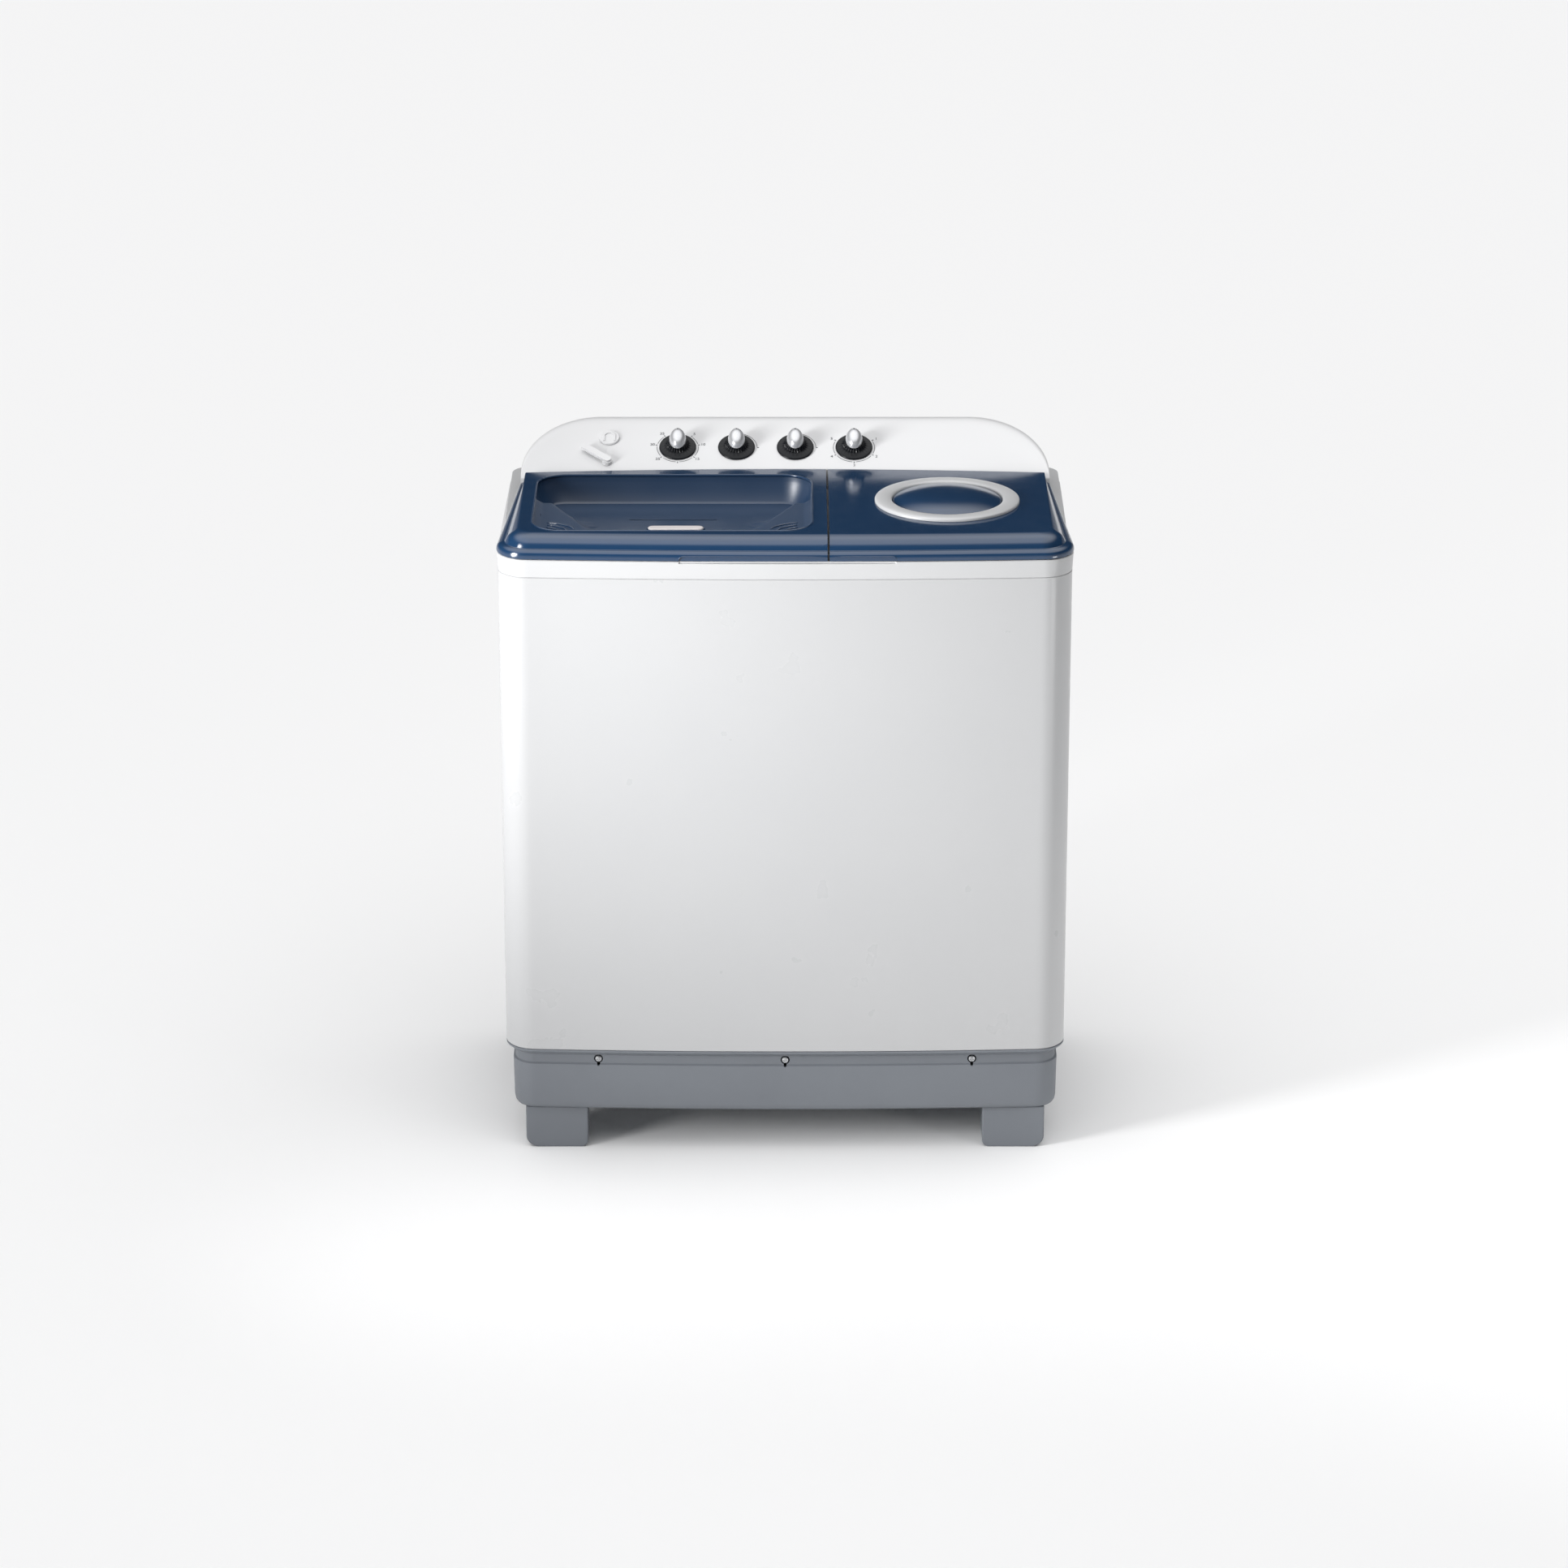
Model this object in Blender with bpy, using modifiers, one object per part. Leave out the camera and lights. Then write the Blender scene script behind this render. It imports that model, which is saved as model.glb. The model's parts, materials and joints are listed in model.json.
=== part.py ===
"""Twin tub washer: wash tub and spin tub in one cabinet, with two hinged lids and a sloped control panel.

Metres, +Z up. X runs to the right, the front is at -Y, and the origin is on the floor under the middle.
"""

import math

import bpy
import bmesh
from mathutils import Matrix, Vector

# ---- driving dimensions ----------------------------------------------------------------------------
WIDTH = 0.830
DEPTH = 0.500
HEIGHT = 1.000
GAP = 0.0003  # clearance kept between neighbouring pieces

HALF = WIDTH / 2
FRONT = -DEPTH / 2
BACK = DEPTH / 2

FEET_TOP = 0.0657
BASE_BOTTOM = FEET_TOP + GAP
BASE_TOP = 0.1655
CABINET_BOTTOM = BASE_TOP + GAP
CABINET_TOP = 0.9000
FRAME_BOTTOM = CABINET_TOP + GAP
FRAME_TOP = 0.9272
DECK_TOP = 0.9220
DECK_BOTTOM = DECK_TOP - 0.0040
LID_BOTTOM = FRAME_TOP + 0.0008
LID_TOP = 0.9592  # at the front ridge
LID_SLOPE = 0.016  # how fast the lids fall towards the back
LID_SKIN = 0.0028

FRONT_BOW = 0.012  # how far the middle of the front stands out past its corners
CORNER = 0.047
REAR_CORNER = 0.030
BODY_INSET = 0.002  # cabinet inside the lids' outline
CABINET_BACK = BACK - 0.012
FRAME_BACK = BACK - 0.002

DIVIDER_X = 0.062  # between the two lids
LID_GAP = 0.0030
REAR_EDGE = 0.105  # back edge of the lids, in the middle
REAR_SAG = 0.018  # how much further forward that edge is at the sides

WASH_X = -0.165
WASH_Y = -0.026
TAPERED_REAR = 0.384  # half width of the top frame at its back
SPIN_X = 0.236
SPIN_Y = -0.055

HINGE_Y = 0.080
HINGE_Z = 0.9470
HINGE_PIN = 0.0028
EAR_WIDTH = 0.0050
EAR_RADIUS = 0.0042

GRIP_LEFT = -0.1525  # the finger recess in the lids' front edge
GRIP_RIGHT = 0.1595

PANEL_FOOT_Y = REAR_EDGE + 0.0040
PANEL_FOOT_Z = 0.9535
PANEL_TOP_Y = 0.205
PANEL_HALF = 0.392
PANEL_SKIN = 0.0030
PANEL_SHOULDER = 0.118
PANEL_ANGLE = math.atan2(HEIGHT - PANEL_FOOT_Z, PANEL_TOP_Y - PANEL_FOOT_Y)
PANEL_NORMAL = Vector((0, -math.sin(PANEL_ANGLE), math.cos(PANEL_ANGLE)))
PANEL_UP = Vector((0, math.cos(PANEL_ANGLE), math.sin(PANEL_ANGLE)))
PANEL_TURN = Matrix((Vector((1, 0, 0)), PANEL_UP, PANEL_NORMAL)).transposed()

KNOB_FIRST_X = -0.160
KNOB_PITCH = 0.0875
KNOB_ALONG = 0.0455  # from the panel's foot, up the slope
DIAL_RADIUS = 0.0275
LEVER_X = -0.2645
LEVER_ALONG = 0.0135
LEVER_LENGTH = 0.047
INLET_X = -0.262
INLET_ALONG = 0.0660

TRAY = (-0.3660, 0.0400, -0.2030, 0.0770)  # opening in the wash lid: left, right, front, back
TRAY_CORNER = 0.046

TUB_TOP = DECK_BOTTOM - GAP
TUB_FLOOR = 0.4550
TUB_WALL = 0.0030
TUB = (-0.3880, 0.0540, -0.2180, 0.1660)  # left, right, front, back
DRAIN_X = 0.010
DRAIN_Y = 0.120
OUTLET = (0.300, 0.115)  # X and Z of the drain outlet at the back
GLAND = (-0.355, 0.200)  # X and Z of the cable gland at the back

PULLEY_Z = 0.3350
PULLEY_RADIUS = 0.0850
PULLEY_HALF = 0.0085
GROOVE_DEPTH = 0.0060
MOTOR_PULLEY_RADIUS = 0.0220
WASH_MOTOR_X = -0.310
WASH_MOTOR_Y = 0.100

SPIN_TUB_FLOOR = 0.500
DRUM_Z = 0.3700  # middle of the brake drum
PLATE_Z = 0.1520  # the spin motor's flange
BRAKE_PIVOT = (SPIN_X + 0.080, SPIN_Y + 0.030)

# ---- materials: name, colour, roughness, metallic --------------------------------------------------
FINISHES = {
    "white_steel": ((0.83, 0.84, 0.85), 0.35, 0.0),
    "white_plastic": ((0.86, 0.86, 0.87), 0.40, 0.0),
    "navy_plastic": ((0.012, 0.028, 0.065), 0.12, 0.0),
    "grey_plastic": ((0.16, 0.17, 0.19), 0.50, 0.0),
    "dial_plastic": ((0.010, 0.014, 0.028), 0.35, 0.0),
    "silver_plastic": ((0.62, 0.63, 0.65), 0.30, 0.4),
    "tub_plastic": ((0.80, 0.82, 0.84), 0.35, 0.0),
    "bare_steel": ((0.55, 0.56, 0.58), 0.35, 1.0),
    "zinc_steel": ((0.48, 0.49, 0.50), 0.45, 1.0),
    "black_rubber": ((0.02, 0.02, 0.02), 0.80, 0.0),
    "beige_plastic": ((0.62, 0.58, 0.57), 0.40, 0.0),
}

PARTS = None
CUTTERS = None


# ---- scene and object helpers ----------------------------------------------------------------------
def clear_scene():
    for obj in list(bpy.data.objects):
        bpy.data.objects.remove(obj, do_unlink=True)


def new_collection(name):
    collection = bpy.data.collections.new(name)
    bpy.context.scene.collection.children.link(collection)
    return collection


def finish(name):
    """The shared material of this name."""
    material = bpy.data.materials.get(name)
    if material is None:
        colour, roughness, metallic = FINISHES[name]
        material = bpy.data.materials.new(name)
        material.use_nodes = True
        shader = material.node_tree.nodes["Principled BSDF"]
        shader.inputs["Base Color"].default_value = (*colour, 1.0)
        shader.inputs["Roughness"].default_value = roughness
        shader.inputs["Metallic"].default_value = metallic
    return material


def link(obj, material):
    """Shows a piece in its material, or keeps a cutter, which has none, out of sight."""
    if material is None:
        obj.hide_render = True
        obj.display_type = "WIRE"
        CUTTERS.objects.link(obj)
    else:
        obj.data.materials.append(finish(material))
        PARTS.objects.link(obj)


def add_object(name, bm, material=None, origin=(0, 0, 0), turn=None):
    """A new object from a bmesh in world space, with its own origin. No material makes it a cutter."""
    place = Matrix.Translation(origin)
    if turn is not None:
        place = place @ turn.to_4x4()
    bmesh.ops.recalc_face_normals(bm, faces=bm.faces)
    bm.transform(place.inverted())
    mesh = bpy.data.meshes.new(name)
    bm.to_mesh(mesh)
    bm.free()
    obj = bpy.data.objects.new(name, mesh)
    obj.matrix_world = place
    mesh.shade_smooth()
    mesh.set_sharp_from_angle(angle=math.radians(35))
    link(obj, material)
    return obj


def boolean(obj, other, operation="DIFFERENCE", solver="EXACT"):
    modifier = obj.modifiers.new(operation.lower() + "_" + other.name, "BOOLEAN")
    modifier.operation = operation
    modifier.object = other
    modifier.solver = solver


def bevel(obj, width, segments=2, angle=40):
    modifier = obj.modifiers.new("rounded_edges", "BEVEL")
    modifier.width = width
    modifier.segments = segments
    modifier.limit_method = "ANGLE"
    modifier.angle_limit = math.radians(angle)


# ---- shape helpers ---------------------------------------------------------------------------------
def box_mesh(low, high):
    bm = bmesh.new()
    size = Vector(high) - Vector(low)
    middle = (Vector(high) + Vector(low)) / 2
    bmesh.ops.create_cube(bm, size=1.0, matrix=Matrix.Translation(middle) @ Matrix.Diagonal((*size, 1.0)))
    return bm


def rod_mesh(start, end, radius, sides=24, radius_end=None):
    """A cylinder or cone between two points."""
    start, end = Vector(start), Vector(end)
    along = end - start
    turn = along.to_track_quat("Z", "Y").to_matrix().to_4x4()
    bm = bmesh.new()
    bmesh.ops.create_cone(
        bm,
        cap_ends=True,
        segments=sides,
        radius1=radius,
        radius2=radius if radius_end is None else radius_end,
        depth=along.length,
        matrix=Matrix.Translation((start + end) / 2) @ turn,
    )
    return bm


def loft_mesh(sections, tube=False):
    """A solid through rings of points, each with the same number of points.

    Its ends are capped, or in a tube the last ring joins the first.
    """
    bm = bmesh.new()
    rings = [[bm.verts.new(point) for point in section] for section in sections]
    for low, high in zip(rings, rings[1:] + rings[:1] if tube else rings[1:]):
        for i in range(len(low)):
            j = (i + 1) % len(low)
            bm.faces.new((low[i], low[j], high[j], high[i]))
    if not tube:
        bm.faces.new(rings[0])
        bm.faces.new(rings[-1])
    return bm


def turned(name, material, profile, origin, axis=(0, 0, 1), sides=32):
    """A piece turned about an axis, from (radius, height) points. A loop off the axis is closed."""
    mesh = bpy.data.meshes.new(name)
    points = [(radius, 0.0, height) for radius, height in profile]
    hollow = min(radius for radius, _ in profile) > 0
    edges = [(i, i + 1) for i in range(len(points) - 1)]
    if hollow:
        edges.append((len(points) - 1, 0))
    mesh.from_pydata(points, edges, [])
    obj = bpy.data.objects.new(name, mesh)
    turn = Vector(axis).to_track_quat("Z", "Y").to_matrix().to_4x4()
    obj.matrix_world = Matrix.Translation(origin) @ turn
    screw = obj.modifiers.new("turned", "SCREW")
    screw.steps = sides
    screw.render_steps = sides
    screw.use_merge_vertices = True
    screw.merge_threshold = 0.00005
    screw.use_smooth_shade = True
    link(obj, material)
    return obj


def rounded_rectangle(x0, x1, y0, y1, radius, steps=5):
    """Corner points of a rounded rectangle, anticlockwise from the right of its lower edge."""
    corners = ((x1, y0, -90), (x1, y1, 0), (x0, y1, 90), (x0, y0, 180))
    points = []
    for x, y, start in corners:
        middle_x = x - radius if x == x1 else x + radius
        middle_y = y - radius if y == y1 else y + radius
        for step in range(steps + 1):
            angle = math.radians(start + 90 * step / steps)
            points.append((middle_x + radius * math.cos(angle), middle_y + radius * math.sin(angle)))
    return points


def at_height(outline, z):
    return [(x, y, z) for x, y in outline]


def prism(outline, low, high, plane="XY"):
    """An outline given thickness along the third axis."""
    if plane == "XZ":
        return loft_mesh([[(x, level, z) for x, z in outline] for level in (low, high)])
    return loft_mesh([at_height(outline, low), at_height(outline, high)])


def front_y(x, inset=0.0):
    """The bowed front's Y at this X."""
    return FRONT + inset + FRONT_BOW * (x / HALF) ** 2


def body_plan(inset, rear=CABINET_BACK, rear_half=None):
    """The body's outline: a bowed front, wide front corners and smaller rear ones.

    A rear_half narrows the back.
    """
    steps, front_steps = 6, 8
    half = HALF - inset
    back_half = half if rear_half is None else rear_half
    back = rear - inset
    radius = CORNER - min(inset, CORNER / 2)
    points = []
    reach = half - radius
    for step in range(front_steps + 1):
        x = -reach + 2 * reach * step / front_steps
        points.append((x, front_y(x, inset)))
    corner_y = front_y(reach, inset) + radius
    for step in range(1, steps + 1):
        angle = math.radians(-90 + 90 * step / steps)
        points.append((reach + radius * math.cos(angle), corner_y + radius * math.sin(angle)))
    for step in range(steps + 1):
        angle = math.radians(90 * step / steps)
        x = back_half - REAR_CORNER + REAR_CORNER * math.cos(angle)
        points.append((x, back - REAR_CORNER + REAR_CORNER * math.sin(angle)))
    right = points[front_steps + 1 :]
    points += [(-x, y) for x, y in reversed(right)]
    return points


def rear_edge_y(x):
    """Back edge of the lids at this X."""
    return REAR_EDGE - REAR_SAG * (x / PANEL_HALF) ** 2


# ---- casing ----------------------------------------------------------------------------------------
def make_base():
    """The plinth: a tray with a stepped lip under the cabinet and three screws in its front."""
    wall = 0.004
    floor = BASE_BOTTOM + 0.004
    side = 0.0125  # main face inside the lids' outline
    sections = (
        (side + wall, floor),
        (side + wall, BASE_TOP),
        (BODY_INSET, BASE_TOP),
        (BODY_INSET + 0.0095, BASE_TOP - 0.0098),
        (side + 0.0020, BASE_TOP - 0.0102),
        (side + 0.0020, BASE_TOP - 0.0258),
        (side - 0.0005, BASE_TOP - 0.0264),
        (side + 0.0005, BASE_BOTTOM + 0.010),
        (side + 0.0060, BASE_BOTTOM),
    )
    rings = [at_height(body_plan(inset), z) for inset, z in sections]
    base = add_object("base", loft_mesh(rings), "grey_plastic")
    for i, x in enumerate((-0.276, 0.0, 0.276)):
        z = BASE_TOP - 0.0180
        face = front_y(x, side)
        cutter = rod_mesh((x, face - 0.01, z), (x, face + 0.0052, z), 0.0062, 20)
        boolean(base, add_object(f"base_screw_recess_{i}", cutter))
        screw = rod_mesh((x, face + 0.0008, z), (x, face + 0.0049, z), 0.0052, 20)
        head = add_object(f"base_screw_{i + 1}", screw, "zinc_steel")
        bevel(head, 0.0006, 1)
    outlet_x, outlet_z = OUTLET
    outlet = rod_mesh((outlet_x, BACK - 0.07, outlet_z), (outlet_x, BACK, outlet_z), 0.0150, 20)
    boolean(base, add_object("drain_outlet_hole", outlet))


def make_feet():
    """Four blocks, each more rounded at its outer edge."""
    depth = 0.062
    for side, x0, x1 in (("left", -0.385, -0.293), ("right", 0.293, 0.385)):
        outer_x, inner_x = (x0, x1) if side == "left" else (x1, x0)
        inward = 1 if side == "left" else -1
        outline = [(outer_x, FEET_TOP)]
        for radius, corner_x, sign in ((0.018, outer_x, inward), (0.010, inner_x, -inward)):
            arc = []
            for step in range(5):
                angle = math.radians(90 * step / 4)
                x = corner_x + sign * radius * (1 - math.cos(angle))
                arc.append((x, radius * (1 - math.sin(angle))))
            outline += arc if corner_x == outer_x else arc[::-1]
        outline.append((inner_x, FEET_TOP))
        for end, y in (("front", -0.220), ("rear", 0.155)):
            foot = add_object(f"foot_{end}_{side}", prism(outline, y, y + depth, "XZ"), "grey_plastic")
            bevel(foot, 0.002, 1, 75)


def make_cabinet():
    """The sheet-steel wrap, with a louvred cover over the service opening in its back."""
    skin = 0.0025
    rings = [
        at_height(body_plan(BODY_INSET + inset), z)
        for inset, z in (
            (skin, CABINET_BOTTOM),
            (skin, CABINET_TOP),
            (0.0, CABINET_TOP),
            (0.0, CABINET_BOTTOM),
        )
    ]
    cabinet = add_object("cabinet", loft_mesh(rings, tube=True), "white_steel")
    back = CABINET_BACK - BODY_INSET
    opening = box_mesh((-0.31, back - 0.02, 0.21), (0.31, back + 0.02, 0.78))
    boolean(cabinet, add_object("service_opening", opening))
    gland_x, gland_z = GLAND
    gland_hole = rod_mesh((gland_x, back - 0.02, gland_z), (gland_x, back + 0.02, gland_z), 0.0090, 20)
    boolean(cabinet, add_object("gland_hole", gland_hole))

    cover = box_mesh((-0.325, back + GAP, 0.195), (0.325, back + 0.0018, 0.795))
    rear_cover = add_object("rear_cover", cover, "zinc_steel")
    for i in range(6):
        z = 0.26 + 0.022 * i
        slot = box_mesh((-0.09, back - 0.01, z), (0.09, back + 0.01, z + 0.006))
        boolean(rear_cover, add_object(f"vent_slot_{i}", slot))
    gland = [(0.0125, 0.0045), (0.0125, GAP), (0.0086, GAP), (0.0086, -0.012)]
    gland += [(0.0045, -0.012), (0.0045, 0.0045)]
    turned("cord_gland", "black_rubber", gland, (gland_x, back, gland_z), (0, 1, 0), 14)


def hinge_rod(x0, x1, radius, sides=16):
    """A rod along the lids' hinge line."""
    return rod_mesh((x0, HINGE_Y, HINGE_Z), (x1, HINGE_Y, HINGE_Z), radius, sides)


def make_top_frame():
    """The rim that holds both tubs, with a deck under the lids and an ear at each end of their rods."""
    under = 0.0035
    rings = [
        at_height(body_plan(BODY_INSET + under), DECK_BOTTOM),
        at_height(body_plan(BODY_INSET + under), FRAME_BOTTOM),
        at_height(body_plan(BODY_INSET), FRAME_BOTTOM),
        at_height(body_plan(0.0012, FRAME_BACK, TAPERED_REAR), FRAME_TOP - 0.002),
        at_height(body_plan(0.0020, FRAME_BACK, TAPERED_REAR), FRAME_TOP),
    ]
    frame = add_object("top_frame", loft_mesh(rings), "white_plastic")
    recess = body_plan(0.0060, REAR_EDGE + 0.008, 0.387)
    boolean(frame, add_object("lid_recess", prism(recess, DECK_TOP, FRAME_TOP + 0.01)))
    wash = rounded_rectangle(-0.3705, 0.0425, -0.2080, 0.0800, 0.045)
    boolean(frame, add_object("wash_opening", prism(wash, DECK_BOTTOM - 0.01, FRAME_TOP + 0.01)))
    spin = rod_mesh((SPIN_X, SPIN_Y, DECK_BOTTOM - 0.01), (SPIN_X, SPIN_Y, FRAME_TOP + 0.01), 0.140, 40)
    boolean(frame, add_object("spin_opening", spin))
    grip = rounded_rectangle(GRIP_LEFT, GRIP_RIGHT, FRONT - 0.01, FRONT + 0.0042, 0.003, 3)
    boolean(frame, add_object("grip_notch", prism(grip, FRAME_TOP - 0.0028, FRAME_TOP + 0.01)))
    wiring = rounded_rectangle(-0.060, 0.200, 0.150, 0.205, 0.010, 3)
    boolean(frame, add_object("wiring_opening", prism(wiring, DECK_BOTTOM - 0.01, FRAME_TOP + 0.01)))
    for i, x in enumerate((-0.366, 0.044, 0.080, 0.364)):
        post = box_mesh(
            (x - EAR_WIDTH / 2, HINGE_Y - EAR_RADIUS, DECK_TOP - 0.001),
            (x + EAR_WIDTH / 2, HINGE_Y + EAR_RADIUS, HINGE_Z),
        )
        boolean(frame, add_object(f"frame_ear_post_{i}", post), "UNION")
        eye = hinge_rod(x - EAR_WIDTH / 2, x + EAR_WIDTH / 2, EAR_RADIUS, 24)
        boolean(frame, add_object(f"frame_ear_eye_{i}", eye), "UNION")
    for i, (x0, x1) in enumerate(((-0.37, 0.048), (0.076, 0.368))):
        bore = hinge_rod(x0 - 0.01, x1 + 0.01, HINGE_PIN + GAP)
        boolean(frame, add_object(f"frame_pin_bore_{i}", bore))


# ---- lids ------------------------------------------------------------------------------------------
def lid_ring(inset, z):
    """One contour of the lids. The higher it is, the more it tilts with the lids' slope."""
    share = max(0.0, (z - LID_BOTTOM) / (LID_TOP - LID_BOTTOM))
    outline = body_plan(inset, FRAME_BACK, TAPERED_REAR)
    return [(x, y, z - share * LID_SLOPE * (y - FRONT - 0.034)) for x, y in outline]


def lid_shell_mesh():
    inner = ((0.0340, 0.9564), (0.0250, 0.9547), (0.0140, 0.9490), (0.0066, 0.9405), (0.0028, 0.9325))
    outer = ((0.0, 0.9330), (0.0040, 0.9425), (0.0120, 0.9515), (0.0240, 0.9575), (0.0340, LID_TOP))
    rings = [lid_ring(inset, z) for inset, z in inner]
    rings.append(lid_ring(LID_SKIN, LID_BOTTOM))
    rings.append(lid_ring(0.0, LID_BOTTOM))
    rings += [lid_ring(inset, z) for inset, z in outer]
    return loft_mesh(rings)


def behind_lids():
    """The plan of what lies behind the lids' curved back edge."""
    steps = 17
    reach = HALF + 0.05
    outline = [(reach, BACK + 0.05), (-reach, BACK + 0.05)]
    for step in range(steps + 1):
        x = -reach + 2 * reach * step / steps
        outline.append((x, rear_edge_y(x)))
    return outline


def make_lid(name, x_inner, x_far, ears):
    """A lid, with its origin on the hinge line. It ends at x_inner, on the side that x_far is on.

    Its walls are cut back behind the hinge, where they would dip into the frame as the lid opens.
    """
    low, high = LID_BOTTOM - 0.05, LID_TOP + 0.05
    lid = add_object(name, lid_shell_mesh(), "navy_plastic", (x_inner, HINGE_Y, HINGE_Z))
    left, right = sorted((x_inner, x_far))
    other_side = box_mesh((left, FRONT - 0.05, low), (right, BACK + 0.05, high))
    boolean(lid, add_object(name + "_other_side", other_side))
    boolean(lid, add_object(name + "_back", prism(behind_lids(), low, high)), solver="MANIFOLD")
    heel = box_mesh((-WIDTH, HINGE_Y - 0.001, low), (WIDTH, BACK, LID_BOTTOM + 0.0022))
    boolean(lid, add_object(name + "_heel", heel), solver="MANIFOLD")
    for i, x in enumerate(ears):
        ear = box_mesh(
            (x - EAR_WIDTH / 2, HINGE_Y - 0.0048, HINGE_Z - 0.0050),
            (x + EAR_WIDTH / 2, HINGE_Y + 0.0048, HINGE_Z + 0.0060),
        )
        boolean(lid, add_object(f"{name}_ear_{i}", ear), "UNION")
    bore = hinge_rod(ears[0] - 0.01, ears[1] + 0.01, HINGE_PIN + GAP)
    boolean(lid, add_object(name + "_pin_bore", bore))
    return lid


def lid_plane_z(y, drop=0.0):
    """Height of the lids' upper face, or of a level that much under it."""
    return LID_TOP - LID_SLOPE * (y - FRONT - 0.034) - drop


def make_wash_lid():
    lid = make_lid("wash_lid", DIVIDER_X - LID_GAP / 2, HALF + 0.06, (-0.3735, 0.0515))
    opening = rounded_rectangle(*TRAY, TRAY_CORNER)
    boolean(lid, add_object("tray_opening", prism(opening, LID_BOTTOM - 0.03, LID_TOP + 0.03)))
    make_wash_lid_rod(-0.3765, 0.0545)
    make_wash_tray()


def tray_ring(inset, drop, front_lift=0.0):
    """Below the lid's face by drop, less towards the front, which the scoop runs up to."""
    x0, x1, y0, y1 = TRAY
    outline = rounded_rectangle(x0 + inset, x1 - inset, y0 + inset, y1 - inset, TRAY_CORNER - inset)
    ring = []
    for x, y in outline:
        share = (y1 - y) / (y1 - y0)
        ring.append((x, y, lid_plane_z(y, drop - front_lift * share**2)))
    return ring


def make_wash_tray():
    """The scoop in the wash lid. Its rim lies under the edge of the lid's opening."""
    skin = 0.0025
    lip = 0.0050
    under = LID_SKIN + 0.0006
    outside = ((0.0270, 0.0450, 0.028), (0.0110, 0.0400, 0.026), (0.0006, under, 0.0))
    rings = [tray_ring(inset, drop + skin, lift) for inset, drop, lift in outside]
    rings += [tray_ring(-lip, under + skin), tray_ring(-lip, under)]
    rings += [tray_ring(inset + skin, drop, lift) for inset, drop, lift in reversed(outside)]
    add_object("wash_tray", loft_mesh(rings), "navy_plastic", (0, HINGE_Y, HINGE_Z))


def make_wash_lid_rod(left, right):
    """A rod with a pin at each end, cranked down between them to pass under the tray's rim."""
    crank = 0.0205
    low = HINGE_Z - 0.0090
    route = (
        (left, HINGE_Z),
        (left + crank, HINGE_Z),
        (left + crank, low),
        (right - crank, low),
        (right - crank, HINGE_Z),
        (right, HINGE_Z),
    )
    points = [Vector((x, HINGE_Y, z)) for x, z in route]
    first_pin = hinge_rod(left, left + crank, HINGE_PIN)
    rod = add_object("wash_lid_hinge_rod", first_pin, "zinc_steel", (0, HINGE_Y, HINGE_Z))
    for i, (start, end) in enumerate(zip(points[1:], points[2:])):
        boolean(rod, add_object(f"wash_lid_rod_run_{i}", rod_mesh(start, end, HINGE_PIN, 16)), "UNION")
        knuckle = bmesh.new()
        bmesh.ops.create_uvsphere(
            knuckle,
            u_segments=12,
            v_segments=8,
            radius=HINGE_PIN * 1.08,
            matrix=Matrix.Translation(start),
        )
        boolean(rod, add_object(f"wash_lid_rod_knuckle_{i}", knuckle), "UNION")


def make_tray_tab():
    """A raised finger tab on the tray's floor, near its front."""
    x, y = -0.1580, -0.1420
    z = lid_plane_z(y, 0.0240)
    outline = rounded_rectangle(x - 0.040, x + 0.040, y - 0.0075, y + 0.0075, 0.0070, 3)
    tab = add_object("tray_tab", prism(outline, z, z + 0.0110), "beige_plastic", (x, y, z))
    bevel(tab, 0.0015, 1)


def make_spin_lid():
    lid = make_lid("spin_lid", DIVIDER_X + LID_GAP / 2, -HALF - 0.06, (0.0725, 0.3715))
    rod = hinge_rod(0.0695, 0.3745, HINGE_PIN)
    add_object("spin_lid_hinge_rod", rod, "zinc_steel", (0, HINGE_Y, HINGE_Z))
    centre = Vector((SPIN_X, SPIN_Y, lid_plane_z(SPIN_Y)))
    normal = Vector((0, LID_SLOPE, 1)).normalized()
    vent = rod_mesh(centre - normal * 0.02, centre + normal * 0.02, 0.050, 32)
    boolean(lid, add_object("vent_opening", vent))
    ring = [(0.1030, 0.0046), (0.1055, 0.0030), (0.1055, GAP)]
    ring += [(0.0800, GAP), (0.0800, 0.0050), (0.0830, 0.0056)]
    turned("vent_ring", "white_plastic", ring, centre, normal, 36)
    dome = [(0.0, 0.0135), (0.030, 0.0119), (0.055, 0.0082), (0.072, 0.0045), (0.0780, 0.0030)]
    dome += [(0.0790, 0.0015), (0.0790, GAP), (0.0560, GAP), (0.0540, 0.0056)]
    dome += [(0.030, 0.0092), (0.0, 0.0108)]
    turned("vent_cap", "navy_plastic", dome, centre, normal, 28)


def make_safety_cover():
    """The flap over the spin tub, with three slots. It swings about its back edge."""
    back = 0.0740
    low = DECK_TOP + 0.0008
    left, right = SPIN_X - 0.1460, SPIN_X + 0.1400
    outline = rounded_rectangle(left, right, SPIN_Y - 0.1460, back + 0.001, 0.020, 4)
    flap = prism(outline, low, low + 0.0025)
    cover = add_object("safety_cover", flap, "tub_plastic", (SPIN_X, back, low))
    for i in range(3):
        half = 0.030 + 0.026 * i
        y = SPIN_Y - 0.060 + 0.060 * i
        slot = box_mesh((SPIN_X - half, y, low - 0.01), (SPIN_X + half, y + 0.005, low + 0.01))
        boolean(cover, add_object(f"cover_slot_{i}", slot))


# ---- control panel ---------------------------------------------------------------------------------
def panel_point(x, along, out=0.0):
    """A point on the panel's sloped face, this far up from its foot and this far off the face."""
    foot = Vector((x, PANEL_FOOT_Y, PANEL_FOOT_Z))
    return foot + PANEL_UP * along + PANEL_NORMAL * out


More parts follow.
